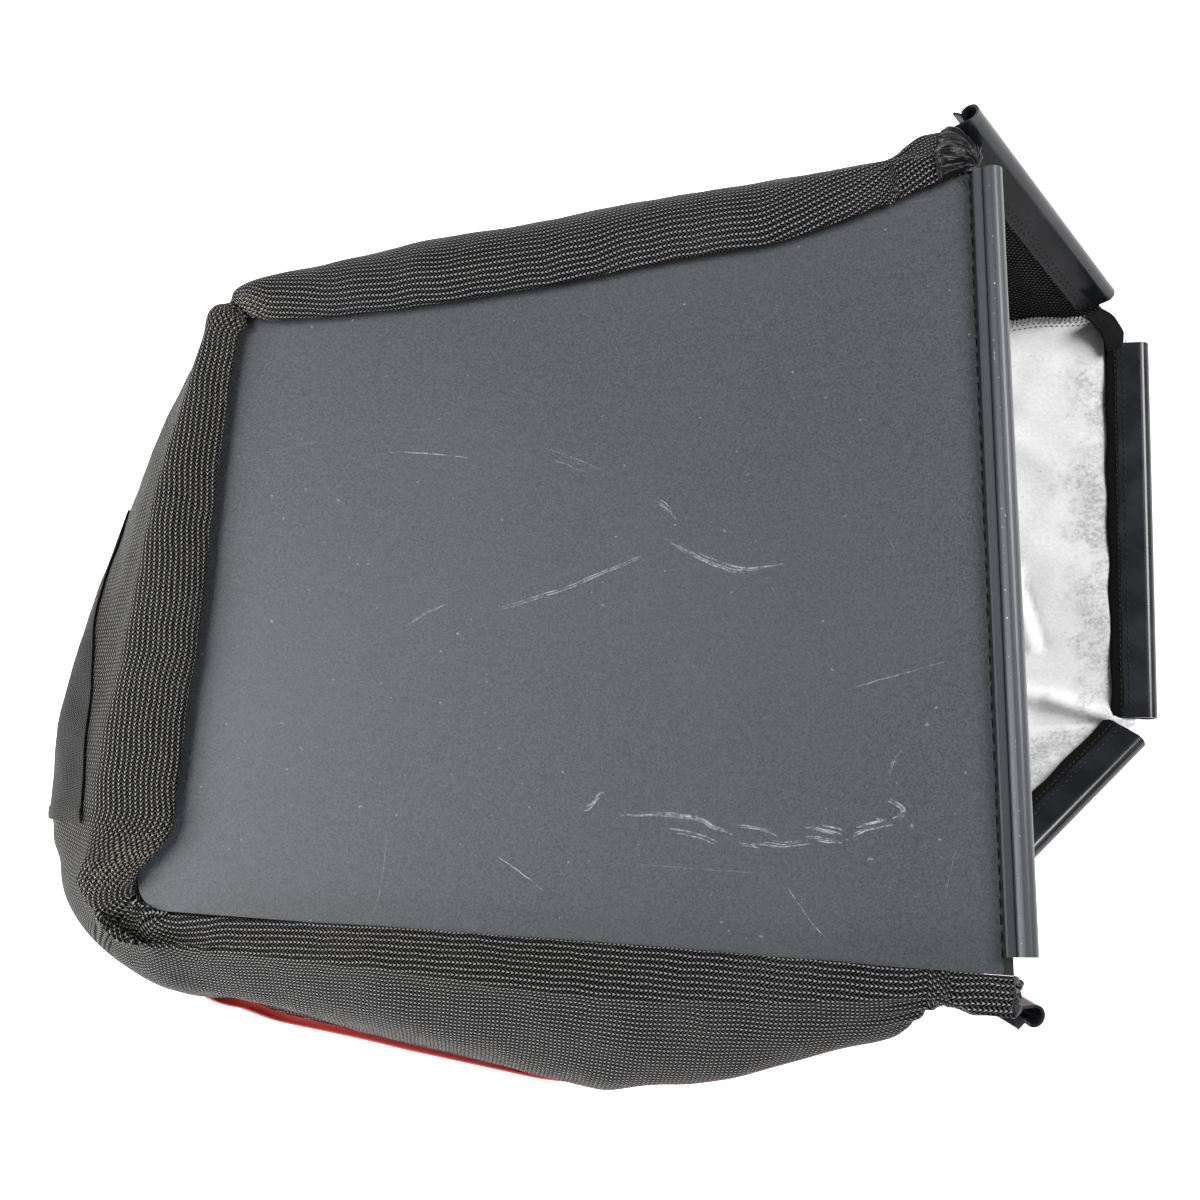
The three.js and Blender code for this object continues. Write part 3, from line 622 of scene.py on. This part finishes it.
def creased(grid, at):
    """Moves points along the normals: soft waves, a crease beside a ridge at both back corners, and
    pleats that gather towards the mouth; nothing moves at the hem, the foot and the mouth"""
    down = distances(grid, 1)
    along = at[:, None]
    from_mouth = np.minimum(at - LONG_INSET, RIM_END - at)[:, None]
    still = smooth((down - 20) / 20) * smooth((down[:, -1:] - down) / 18) * smooth((from_mouth - 6) / 50)
    shift = 1.1 * waves(along * 0.55, down, 7, 45, 150, 3) + 0.3 * waves(along, down, 5, 22, 50, 4)
    fade = smooth((down - 12) / 8) * (1 - smooth((down - 90) / 70))
    crease = 2.4 * bump(along, LONG_CORNER + 10, 6) - 4.0 * bump(along, LONG_CORNER + 1, 3.2)
    crease = crease + 3.0 * bump(along, SHORT_CORNER - 13, 6) - 4.0 * bump(along, SHORT_CORNER + 2, 7)
    pleats = bump(from_mouth, 34, 26) * smooth((from_mouth - 8) / 12) * (1 - smooth((down - 52) / 30))
    pleats = pleats * np.sin(2 * np.pi * down / PLEAT_PITCH + np.sin(from_mouth / 16) * 1.6)
    pleats = pleats * 1.2 * smooth((down - 14) / 8)
    return grid - normals_of(grid) * (shift * still + crease * fade + pleats)[..., None]


def add_wall(name, start, end, columns, rows, node):
    """The grid's normals point into the bag, so its columns are turned round"""
    at = np.linspace(start, end, columns)
    grid = creased(wall_surface(at, rows), at)
    down = distances(grid, 1)
    along = at[:, None]
    dust_and_shade = 0.8 * bump(along, LONG_CORNER - 8, 16) * bump(down, 38, 26) * (down > 14)
    dust_and_shade = dust_and_shade + 0.5 * bump(along, SHORT_CORNER - 22, 18) * bump(down, 46, 16)
    inner = bump(down, 27, 9) * smooth((along - LONG_CORNER) / 12) * smooth((SHORT_CORNER - along) / 20)
    dust_and_shade = dust_and_shade + inner * mix(0.6, 0.3, smooth((along - LONG_CORNER) / 120))
    dust_and_shade = dust_and_shade + 0.14 * smooth((along - LONG_CORNER) / 30) * smooth((SHORT_CORNER - along) / 30)
    dust_and_shade = dust_and_shade + 0.2 * bump(along, on_short_side(0.25), 110) * bump(down, 30, 14)
    length = distances(grid, 0)
    uv = np.stack([(start + end) / 2 + length - length[columns // 2], down], -1)
    flip = lambda a: a[:, ::-1]
    wall = sheet(name, flip(grid), MESH, MESH_LOOK, flip(uv), {"dust_and_shade": flip(dust_and_shade)}, replaces=[node])
    return wall, at, grid


long_wall, LONG_LINES, LONG_GRID = add_wall(
    "long_wall_cloth", LONG_INSET, LONG_CORNER, 280, 150, "mesh_wall_long_side")
back_wall, BACK_LINES, BACK_GRID = add_wall(
    "back_wall_cloth", LONG_CORNER, SHORT_CORNER, 270, 150, "mesh_wall_back")
short_wall, SHORT_LINES, SHORT_GRID = add_wall(
    "short_wall_cloth", SHORT_CORNER, RIM_END, 320, 120, "mesh_wall_short_side")


def cut_from(grid, starts, foot, rows, ahead=0.0):
    """Part of each of a wall's lines from a depth past its crest (or a distance ahead of the crest)
    down to the depth foot, in equal steps"""
    pieces = []
    for line, start in zip(grid, np.broadcast_to(starts, len(grid))):
        length = distances(line[None], 1)[0]
        crest = line[:, 2].argmax()
        depth = np.maximum.accumulate(-line[crest:, 2])
        a = length[crest] - ahead if ahead else np.interp(start, depth, length[crest:])
        s = np.linspace(a, np.interp(foot, depth, length[crest:]), rows)
        pieces.append(np.stack([np.interp(s, length, line[:, k]) for k in range(3)], -1))
    return np.array(pieces)


# Patch on the back wall: a strap whose upper edge climbs towards the short corner, with a folded hem
# across its end there and one along its upper edge
PATCH_FROM, PATCH_TO = LONG_CORNER + 118, LONG_CORNER + 318
inside = (BACK_LINES > PATCH_FROM) & (BACK_LINES < PATCH_TO)
share = (BACK_LINES[inside] - PATCH_FROM) / (PATCH_TO - PATCH_FROM)
patch_grid = cut_from(BACK_GRID[inside], np.interp(share, [0, 0.2, 0.6, 1], [58, 38, 8, -8]), 112, 60)
patch_down = distances(patch_grid, 1)
end_hem = smooth((BACK_LINES[inside] - PATCH_TO + 9) / 1.5)[:, None] * np.ones((1, 60))
patch_lift = 1.7 + 0.9 * np.maximum(end_hem, 1 - smooth((patch_down - 5) / 1.5))
patch = sheet(
    "back_patch_cloth", patch_grid, 1.3, PATCH_LOOK, values={"dust_and_shade": 0.3 * end_hem},
    lift=patch_lift, towards=[-1, 0, 0], replaces=["back_patch"],
)


# Tabs: ribbon sewn round the mouth ends of the rolls, gathered to the plate's corner
def add_tab(name, lines, grid, node, corner, towards, bulge):
    """The first lines lie on the wall; from its edge on,
    P(q, d) = mix(edge(d), corner, 0.9 smooth(q)) + sin(pi q) (sin(pi d) bulge + (2, 0, 1)),
    moved along its normals by pleats that run to the corner"""
    near = np.minimum(lines - LONG_INSET, RIM_END - lines)
    order = np.argsort(-near)
    chosen = order[(near[order] > 0.2) & (near[order] < 3.6)]
    on_wall = cut_from(grid[chosen], 0, 34, 90, 14)
    q = np.linspace(0, 1, 30)[1:, None, None]
    closing = mix(on_wall[-1:], np.asarray(corner, float), 0.9 * smooth(q))
    arch = np.sin(np.pi * np.linspace(0, 1, 90))[None, :, None]
    closing = closing + np.sin(np.pi * q) * (arch * bulge + np.array([2.0, 0, 1.0]))
    surface = np.concatenate([on_wall, closing])
    down, along = distances(on_wall, 1)[:1], np.linspace(0, 24, len(surface))[:, None]
    folds = np.sin(2 * np.pi * down / TAB_PLEAT_PITCH + 1.6 * np.sin(along / 5) + 0.8)
    folds = folds * 1.2 * smooth(along / 5)
    lift = 1.9 + folds + 0.5 * waves(along, down, 6, 4, 12, 31)
    uv = np.stack([down + 0 * along, along + 0 * down], -1)
    return sheet(name, surface, 1.1, TAB_LOOK, uv, lift=lift, towards=towards, replaces=[node])


long_tab = add_tab(
    "long_tab_ribbon", LONG_LINES, LONG_GRID, "corner_tab_long_side",
    corner=(3, 219, -3), towards=[0, 1, 1], bulge=np.array([1.5, 2.5, 3.0]))
short_tab = add_tab(
    "short_tab_ribbon", SHORT_LINES, SHORT_GRID, "corner_tab_short_side",
    corner=(6, -217, -5), towards=[0, -1, 1], bulge=np.array([2.0, -2.0, 1.0]))


# Top cover and lining
def line_of(at):
    """Foot of the walls, without creases"""
    return wall_surface(np.atleast_1d(np.asarray(at, float)), 60)[:, -1]


def grounded(p):
    return np.concatenate([p[..., :2], np.full_like(p[..., 2:], -HEIGHT)], -1)


def flank_top(at):
    return line_of(at) - [0, 0, SEAM_DROP]


def cover_surface(s, w, roll=1.0):
    """P(s, w) = back row(w) to mouth row(w) by s, plus what the long wall's foot and the flank's seam
    stand off that straight line, fading inwards. Between seam and ground the flank hangs out by
    BELLY sin(pi s)^0.6 sin(pi flank). Just below the seam it rolls out by
    roll (ROLL_BACK - ROLL_LESS smooth(s / 0.3)) exp(-((flank - ROLL_AT) / ROLL_WIDTH)^2), up to
    s = 0.5, and this fades to nothing at 0.62. Past flank = 0.95 it rises by up to SEAM_DROP - 0.4
    towards the short wall's foot, except at the mouth. The mouth edge is lifted by lift_at."""
    flank = clamp((w - BEND) / (1 - BEND))
    back = grounded(line_of(mix(LONG_CORNER, BEND_AT, clamp(w / BEND))))
    rise = flank_top(mix(BEND_AT, SHORT_CORNER, flank))
    rise[:, 2] = np.maximum(-HEIGHT, rise[:, 2])
    back = np.where((w > BEND)[:, None], rise, back)
    corners = [
        grounded(line_of(LONG_INSET))[0], np.array([TOP_REACH, TOP_Y, -HEIGHT]),
        np.array([TOP_REACH_LOW, TOP_END_Y, -HEIGHT]), flank_top(RIM_END)[0],
    ]
    marks = [0, CORNER_SHARE, BEND, 1]
    mouth = np.stack([np.interp(w, marks, [c[k] for c in corners]) for k in range(3)], -1)
    p = mix(back[None], mouth[None], s[:, None, None])
    long_foot = grounded(line_of(mix(LONG_CORNER, LONG_INSET, s)))
    short_foot = flank_top(mix(SHORT_CORNER, RIM_END, s))
    p = p + (long_foot - mix(back[0], mouth[0], s[:, None]))[:, None] * clamp(1 - w / BEND)[None, :, None]
    p = p + (short_foot - mix(back[-1], mouth[-1], s[:, None]))[:, None] * smooth(flank)[None, :, None]
    belly = np.sin(np.pi * s)[:, None].clip(0) ** 0.6 * np.sin(np.pi * flank)[None, :]
    along = smooth(s / 0.035) * (1 - smooth((s - 0.50) / 0.12)) * (ROLL_BACK - ROLL_LESS * smooth(s / 0.3))
    rolled = roll * along[:, None] * bump(flank, ROLL_AT, ROLL_WIDTH)[None, :]
    p[..., 1] -= BELLY * belly + rolled
    p[..., 2] = np.maximum(-HEIGHT, p[..., 2] - 12 * belly * flank[None, :])
    p[..., 2] += lift_at(p[..., 0]) * (1 - flank)[None, :]
    rise = smooth((flank - 0.95) / 0.05)[None, :] * smooth((1 - s) / 0.06)[:, None]
    p[..., 2] += (SEAM_DROP - 0.4) * rise
    return p


def cover_lines(rows, columns):
    """Equal steps, with one line of points on the bend"""
    split = round(columns * BEND)
    return np.linspace(0, 1, rows), np.concatenate(
        [np.linspace(0, BEND, split, endpoint=False), np.linspace(BEND, 1, columns - split)])


s, w = cover_lines(140, 190)
cover = sheet("red_cover", cover_surface(s * 0.995, w), COVER, RED_LOOK, replaces=["top_cover"])


def fold_line(p, a, b, width, height):
    """height exp(-(d / width)^2), d the distance from the stretch a to b in x and y"""
    a, b = np.asarray(a, float), np.asarray(b, float)
    t = clamp(((p[..., :2] - a) @ (b - a)) / ((b - a) @ (b - a)))
    d = np.linalg.norm(p[..., :2] - (a + t[..., None] * (b - a)), axis=-1)
    return height * bump(d, 0, width)


s, w = cover_lines(190, 220)
inner = cover_surface(s * 0.985 + 0.014, w * 0.985 + 0.01, roll=0.0)
x, y = inner[..., 0], inner[..., 1]
free = smooth(s / 0.1)[:, None] * smooth((1 - s) / 0.02)[:, None]
free = free * smooth(w / 0.06)[None, :] * smooth((1 - w) / 0.05)[None, :]
folds = 1.5 * waves(x, y, 9, 60, 170, 21) + 0.30 * waves(x, y, 7, 14, 40, 22) + 2.2
folds = folds + fold_line(inner, (10, -44), (66, -62), 5, 5.0)
folds = folds + fold_line(inner, (34, -50), (72, -66), 3, 3.0)
folds = folds - fold_line(inner, (15, -84), (64, -66), 6, 3.0) + fold_line(inner, (14, 30), (24, -14), 5, 4.5)
folds = folds - fold_line(inner, (20, 26), (30, -16), 3, 2.5) + fold_line(inner, (-20, 150), (40, 100), 9, 2.0)
inner = inner - normals_of(inner) * (np.maximum(folds, 0) * free + COVER + 0.5)[..., None]
# Lining: stains towards the mouth tape; darker past y = -66 towards the diagonal clip and deep under the plate
# past x = -60; painted shade along the crease from (20, 26) to (28, -16)
stains_and_shade = smooth((x - 22) / 45) * (0.55 + 0.45 * smooth((150 - y) / 60)) + 0.9 * smooth((-66 - y) / 12)
stains_and_shade = np.maximum(stains_and_shade, 0.5 * smooth((-x - 60) / 200)) + 0.5 * fold_line(inner, (20, 26), (28, -16), 8, 1.0)
lining = sheet("white_lining", inner, LINING, LINING_LOOK, values={"dust_and_shade": clamp(stains_and_shade)},
               replaces=["top_lining"])


# Stitches
def dashes(a, b, pitch, length, rise, up=(0, 0, 1), seed=11):
    """Short threads between two points: each arches by rise over its own length"""
    r = np.random.default_rng(seed)
    a, b, up = (np.asarray(v, float) for v in (a, b, up))
    d, reach = unit(b - a), np.linalg.norm(b - a)
    t = np.linspace(-0.5, 0.5, 5)[:, None]
    starts = a + d * (np.arange(int(reach / pitch)) + 0.5)[:, None] * pitch
    starts = starts + r.normal(0, 0.12, starts.shape) * (1 - abs(up))
    return [start + d * t * length + up * (rise * np.cos(np.pi * t)) for start in starts]


threads(
    "plate_stitches", dashes((0, 211, 0.1), (0, -213, 0.1), STITCH_PITCH, 5.4, 0.35), 0.45,
    BLACK_THREAD)


def clip_axes(line, inward, outer):
    """A clip's directions: along it, across its flange away from the cloth, and its outer side"""
    axis = unit(line[1] - line[0])
    inward = np.asarray(inward, float)
    out = -unit(inward - axis * (inward @ axis))
    normal = np.cross(axis, out)
    return axis, out, normal if normal @ np.asarray(outer, float) > 0 else -normal


def shortened(a, b, from_a, from_b):
    d = unit(b - a)
    return np.array([a + d * from_a, b - d * from_b])


def edge_line(at, depth, out, lean):
    """A wall's straight mouth edge: from its upper end at a depth to the wall's foot"""
    base, outward = rim_at(np.array([at]))
    upper = np.array([*(base[0] + outward[0] * out), -depth]) + [lean * depth / HEIGHT, 0, 0]
    return upper, line_of(at)[0]


MOUTH_CORNER = np.array([TOP_REACH_LOW, TOP_END_Y, LIFT - HEIGHT])
LONG_CLIP = shortened(*edge_line(LONG_INSET, 9, 38, LONG_LEAN), 1, 14)
SHORT_CLIP = shortened(*edge_line(RIM_END, 0, 20, SHORT_LEAN), 4.6, 9)
TOP_CLIP = shortened(np.array([TOP_REACH, TOP_Y, LIFT - HEIGHT]), MOUTH_CORNER, 4, 4)
DIAGONAL_CLIP = shortened(MOUTH_CORNER, flank_top(RIM_END)[0], 9, 13)
_, long_outward = rim_at(np.array([200.0]))
along_long = np.array([-long_outward[0][1], long_outward[0][0], 0])
_, short_outward = rim_at(np.array([RIM_END - 100]))
along_short = np.array([short_outward[0][1], -short_outward[0][0], 0])

flange_stitches = []
for line, inward, outer, layers, stand_off, rows in (
    (LONG_CLIP, along_long * np.sign(-along_long[0]), (0, 1, 0), 2.0, 0, (-6.0, -9.0)),
    (TOP_CLIP, (-1, 0, 0), (0, 0, -1), COVER_LAYERS, 0, (-4.0,)),
    (DIAGONAL_CLIP, (-1, 0, 0), (0, -1, -1), COVER_LAYERS, 0, (-4.0,)),
    (SHORT_CLIP, along_short * np.sign(-along_short[0]), (0, -1, 0), 2.0, 8, (-6.0,)),
):
    axis, out, normal = clip_axes(line, inward, outer)
    inner_face = -normal * (layers + CLEARANCE + CLIP_WALL + 0.1)
    for row in rows:
        shift = out * (stand_off + row) + inner_face
        flange_stitches += dashes(line[0] + shift, line[1] + shift, 4.4, 2.6, 0.25, -normal, 13)
threads("flange_stitches", flange_stitches, 0.42, BLACK_THREAD)


# Tapes over the flanges' inner edges and round the corner between the long clip and the top clip
TAPE_HALF, TAPE_IN, TAPE_UP, TAPE_ROW = 3.6, 11.2, 6.3, 2.4


def add_tape(name, line, outer, node):
    """P(t, q) = line(t) + out (TAPE_HALF q - TAPE_IN) - normal (TAPE_UP + waves - 1.2 q^6)"""
    axis, out, normal = clip_axes(line, (-1, 0, 0), outer)
    reach = np.linalg.norm(line[1] - line[0])
    t, q = np.linspace(1, reach - 1, 150)[:, None], np.linspace(-1, 1, 17)[None, :]
    height = TAPE_UP + 0.25 * waves(t, q * 5, 6, 9, 40, 41) - 1.2 * q**6
    across = TAPE_HALF * q - TAPE_IN + 0.35 * waves(t, q * 2, 5, 12, 45, 42)
    grid = line[0] + axis * t[..., None] + out * across[..., None] - normal * height[..., None]
    row = line + out * (TAPE_ROW - TAPE_IN) - normal * (TAPE_UP + 0.05)
    tape = sheet(name, grid, 0.9, TAPE_LOOK, towards=-normal, replaces=[node])
    return tape, dashes(row[0], row[1], 3.6, 2.3, 0.3, -normal, 17)


top_tape, top_row = add_tape("top_edge_tape", TOP_CLIP, (0, 0, -1), "binding_top_edge")
diagonal_tape, diagonal_row = add_tape("diagonal_tape", DIAGONAL_CLIP, (0, -1, -1), "binding_diagonal")
threads("tape_stitches", top_row + diagonal_row, 0.35, BLACK_THREAD)

i, q = np.linspace(0, 8, 60)[:, None], np.linspace(0, 1, 16)[None, :]
rounding = np.sin(np.pi * i / 8)
middle = LONG_CLIP[1] + (TOP_CLIP[0] - LONG_CLIP[1]) * ((i + 1) / 10)[..., None]
across = np.array([-13.0, -9.0, 13.0]) * q[..., None]
bulging = 1.2 * np.sin(np.pi * q) + 0.5 * waves(i * 3, q * 15, 6, 5, 16, 51)
offset = np.stack(np.broadcast_arrays(
    1.5 + 3 * rounding + bulging, -2 + 2 * rounding + bulging * 0.6, -2 + 0 * bulging), -1)
corner_tape = sheet("corner_tape", middle + offset + across, 1.0, TAPE_LOOK, towards=[1, 1, 0],
                    replaces=["binding_corner"])


# The lining's sewn edge along the long wall: two rows of stitches and an overlocked border
def along_edge(inset, lift):
    """A line over the lining at a distance from its long edge"""
    steps = distances(inner, 1)
    line = np.array([[np.interp(inset, l, p[:, k]) for k in range(3)] for l, p in zip(steps, inner)])
    up = -normals_of(inner)[:, 2]
    return line + up * (lift + LINING)


def resampled(line, pitch):
    length = distances(line[None], 1)[0]
    s = np.arange(0, length[-1], pitch)
    return np.stack([np.interp(s, length, line[:, k]) for k in range(3)], -1)


hem = []
for inset, pitch, share in ((5.4, 3.4, 0.62), (8.2, 3.4, 0.5)):
    fine = resampled(along_edge(inset, 0.35), pitch / 8)
    keep = int(8 * share) + 1
    hem.append([fine[k:k + keep] for k in range(0, len(fine) - keep, 8)])
threads("lining_stitches", hem[0] + hem[1], 0.34, BLACK_THREAD)
BORDER_STEP, BORDER_PITCH = 0.45, 2.6
path = resampled(along_edge(2.6, 0.5), BORDER_STEP)
turns = np.arange(len(path)) * 2 * np.pi * BORDER_STEP / BORDER_PITCH
d = unit(np.gradient(path, axis=0))
over = np.array([0.0, 0.0, 1.0])
side = unit(np.cross(d, over))
path = path + side * (1.2 * np.cos(turns))[:, None] + over * (0.9 * np.sin(turns) + 0.5)[:, None]
threads("lining_border", [path], 0.62, WHITE_THREAD)

# Loose thread ends at the long tab, over the plate's corner
loose = []
for a, b, c in (((-3, 217, 3), (-1, 212, 1.4), (3, 208, 1.0)), ((-5, 215, 3), (-4, 209, 1.3), (-1, 204, 0.9)),
                ((0, 219, 4), (3, 214, 2.0), (4, 209, 1.2)), ((-8, 222, 8), (-4, 225, 11), (-1, 221, 8))):
    t = np.linspace(0, 1, 14)[:, None]
    loose.append((1 - t) ** 2 * np.array(a) + 2 * t * (1 - t) * np.array(b) + t * t * np.array(c))
threads("loose_threads", loose, 0.28, BLACK_THREAD)


# Scratches and scuffs on the plate: rounded positions, width and number of hairs
SCRATCHES = [
    ([(-335, 79), (-308, 76), (-283, 72)], 0.8, 1, 0.9), ([(-246, 74), (-225, 66), (-200, 54)], 1.0, 2, 0.45),
    ([(-182, 43), (-170, 36), (-162, 26)], 1.6, 3, 0.5),
    ([(-172, 19), (-151, 7), (-138, 1), (-124, -2), (-100, 1)], 1.7, 4, 0.7),
    ([(-273, -19), (-230, -8), (-180, 10)], 1.1, 3, 0.6),
    ([(-324, -26), (-309, -17), (-292, -10)], 1.2, 2, 0.5),
    ([(-87, -74), (-51, -64), (-15, -55)], 0.9, 2, 0.5),
    ([(-222, -129), (-213, -126), (-206, -120), (-198, -128)], 1.5, 3, 0.8),
    ([(-197, -132), (-175, -132), (-153, -135), (-145, -139), (-133, -143)], 1.5, 4, 0.85),
    ([(-132, -140), (-120, -141), (-109, -146)], 1.5, 4, 0.8),
    ([(-97, -139), (-87, -141), (-77, -144)], 1.5, 4, 0.8),
    ([(-120, -146), (-105, -147), (-92, -145)], 1.2, 3, 0.7),
    ([(-77, -144), (-66, -139), (-51, -136)], 1.5, 4, 0.85),
    ([(-51, -136), (-46, -131), (-56, -123)], 1.5, 4, 0.8),
    ([(-55, -119), (-52, -108), (-47, -98)], 1.0, 2, 0.5),
    ([(-170, -140), (-156, -142), (-140, -148)], 1.3, 3, 0.8), ([(-131, -147), (-118, -149)], 1.2, 3, 0.8),
    ([(-97, -147), (-78, -149)], 1.2, 3, 0.8), ([(-328, -137), (-330, -166), (-338, -194)], 0.8, 1, 0.35),
    ([(-265, -153), (-251, -162), (-237, -172)], 0.8, 1, 0.8),
    ([(-106, -170), (-96, -186), (-84, -200)], 0.8, 1, 0.9),
    ([(-289, -114), (-268, -123)], 0.7, 1, 0.4), ([(-60, 30), (-48, 8), (-40, -14)], 0.6, 1, 0.25),
    ([(-190, -158), (-160, -160), (-112, -164)], 0.6, 1, 0.25),
    ([(-20, -150), (-26, -175), (-22, -190)], 0.6, 1, 0.25),
]


def add_scratches():
    """Ribbons 0.06 above the plate, three points across: fade is 0 at the edges and at both ends"""
    points, faces, fade = [], [], []
    r = np.random.default_rng(61)
    for marks, width, hairs, strength in SCRATCHES:
        control = np.array(marks, float)
        for _ in range(hairs):
            moved = control + r.normal(0, 0.0 if hairs == 1 else 1.1, 2)
            count = max(6, int(distances(control, 0)[-1] / 1.5))
            first, last = (0, 1) if hairs == 1 else (r.uniform(0, 0.35), r.uniform(0.65, 1))
            line = spline(moved[None], np.linspace(first, last, count))[0]
            wander = [waves(line[:, 0], line[:, 1], 4, 6, 30, 70 + k) for k in (0, 1)]
            line = line + np.stack(wander, -1) * 0.25
            side = unit(np.gradient(line, axis=0))[:, ::-1] * [-1, 1]
            w = width * (0.85 if hairs > 1 else 0.9) * (0.6 + 0.4 * r.uniform(0, 1))
            start = sum(len(p) for p in points)
            ribbon = line[:, None] + side[:, None] * np.array([-0.5, 0, 0.5])[None, :, None] * w
            points.append(np.concatenate([ribbon, np.full((count, 3, 1), 0.06)], -1).reshape(-1, 3))
            taper = np.sin(np.pi * np.linspace(0, 1, count)) ** 0.5 * strength
            fade.append((taper[:, None] * np.array([0, 1, 0])).ravel())
            faces.append(grid_quads(count, 3, start)[:, ::-1])
    points = np.concatenate(points)
    return add_mesh("plate_scratches", points, np.concatenate(faces), SCRATCH_LOOK,
                    values={"fade": np.concatenate(fade)})


add_scratches()

# Camera of the photo: focal length and frame width in pixels
FOCAL_LENGTH, FRAME_WIDTH = 1650.6, 1200
CAMERA_AT = (13.18, -193.10, 862.65)
RIGHT = Vector((0.96915, 0.00405, -0.24642))
UP = Vector((0.04464, 0.98044, 0.19169))
BACKWARD = Vector((0.24238, -0.19678, 0.95002))
camera = bpy.data.objects.new("camera", bpy.data.cameras.new("camera"))
camera.data.sensor_width = 36
camera.data.lens = FOCAL_LENGTH / FRAME_WIDTH * camera.data.sensor_width
turn = Matrix((RIGHT, UP, BACKWARD)).transposed().to_4x4()
camera.matrix_world = Matrix.Translation(Vector(place(CAMERA_AT))) @ turn
camera.data.clip_start, camera.data.clip_end = 0.01, 20
scene = bpy.context.scene
scene.collection.objects.link(camera)
scene.camera = camera

# Floor and light
floor_data = bpy.data.meshes.new("floor")
floor_data.from_pydata(
    [(-6, -6, -0.0005), (6, -6, -0.0005), (6, 6, -0.0005), (-6, 6, -0.0005)], [], [(0, 1, 2, 3)])
floor = bpy.data.objects.new("floor", floor_data)
scene.collection.objects.link(floor)
paper = Look("floor_paper")
paper.set("Roughness", 0.9)
paper.set("Base Color", (0.9, 0.9, 0.9))
paper.set("Emission Color", (1, 1, 1))
paper.set("Emission Strength", 0.75)
floor_data.materials.append(paper.material)

world = bpy.data.worlds.new("studio")
scene.world = world
world.use_nodes = True
world.node_tree.nodes["Background"].inputs["Color"].default_value = (1, 1, 1, 1)
world.node_tree.nodes["Background"].inputs["Strength"].default_value = 0.22


def soft_box(name, position, target, size, power):
    """A square light that points from its position to its target, metres"""
    lamp = bpy.data.lights.new(name, "AREA")
    lamp.shape, lamp.size, lamp.energy = "SQUARE", size, power
    obj = bpy.data.objects.new(name, lamp)
    obj.location = position
    obj.rotation_euler = (Vector(target) - Vector(position)).to_track_quat("-Z", "Y").to_euler()
    scene.collection.objects.link(obj)


soft_box("front", (-0.6, -1.6, 0.6), (0, 0, 0.1), 0.5, 32)
soft_box("left", (-1.2, -0.1, 0.8), (0, 0, 0.1), 0.5, 15)
soft_box("right", (1.3, 0.5, 1.3), (0.25, 0.0, 0.05), 0.8, 36)
soft_box("strip", (-0.95, 0.15, 1.75), (0.2, 0.0, 0.2), 1.0, 26)
scene.view_settings.view_transform = "Standard"
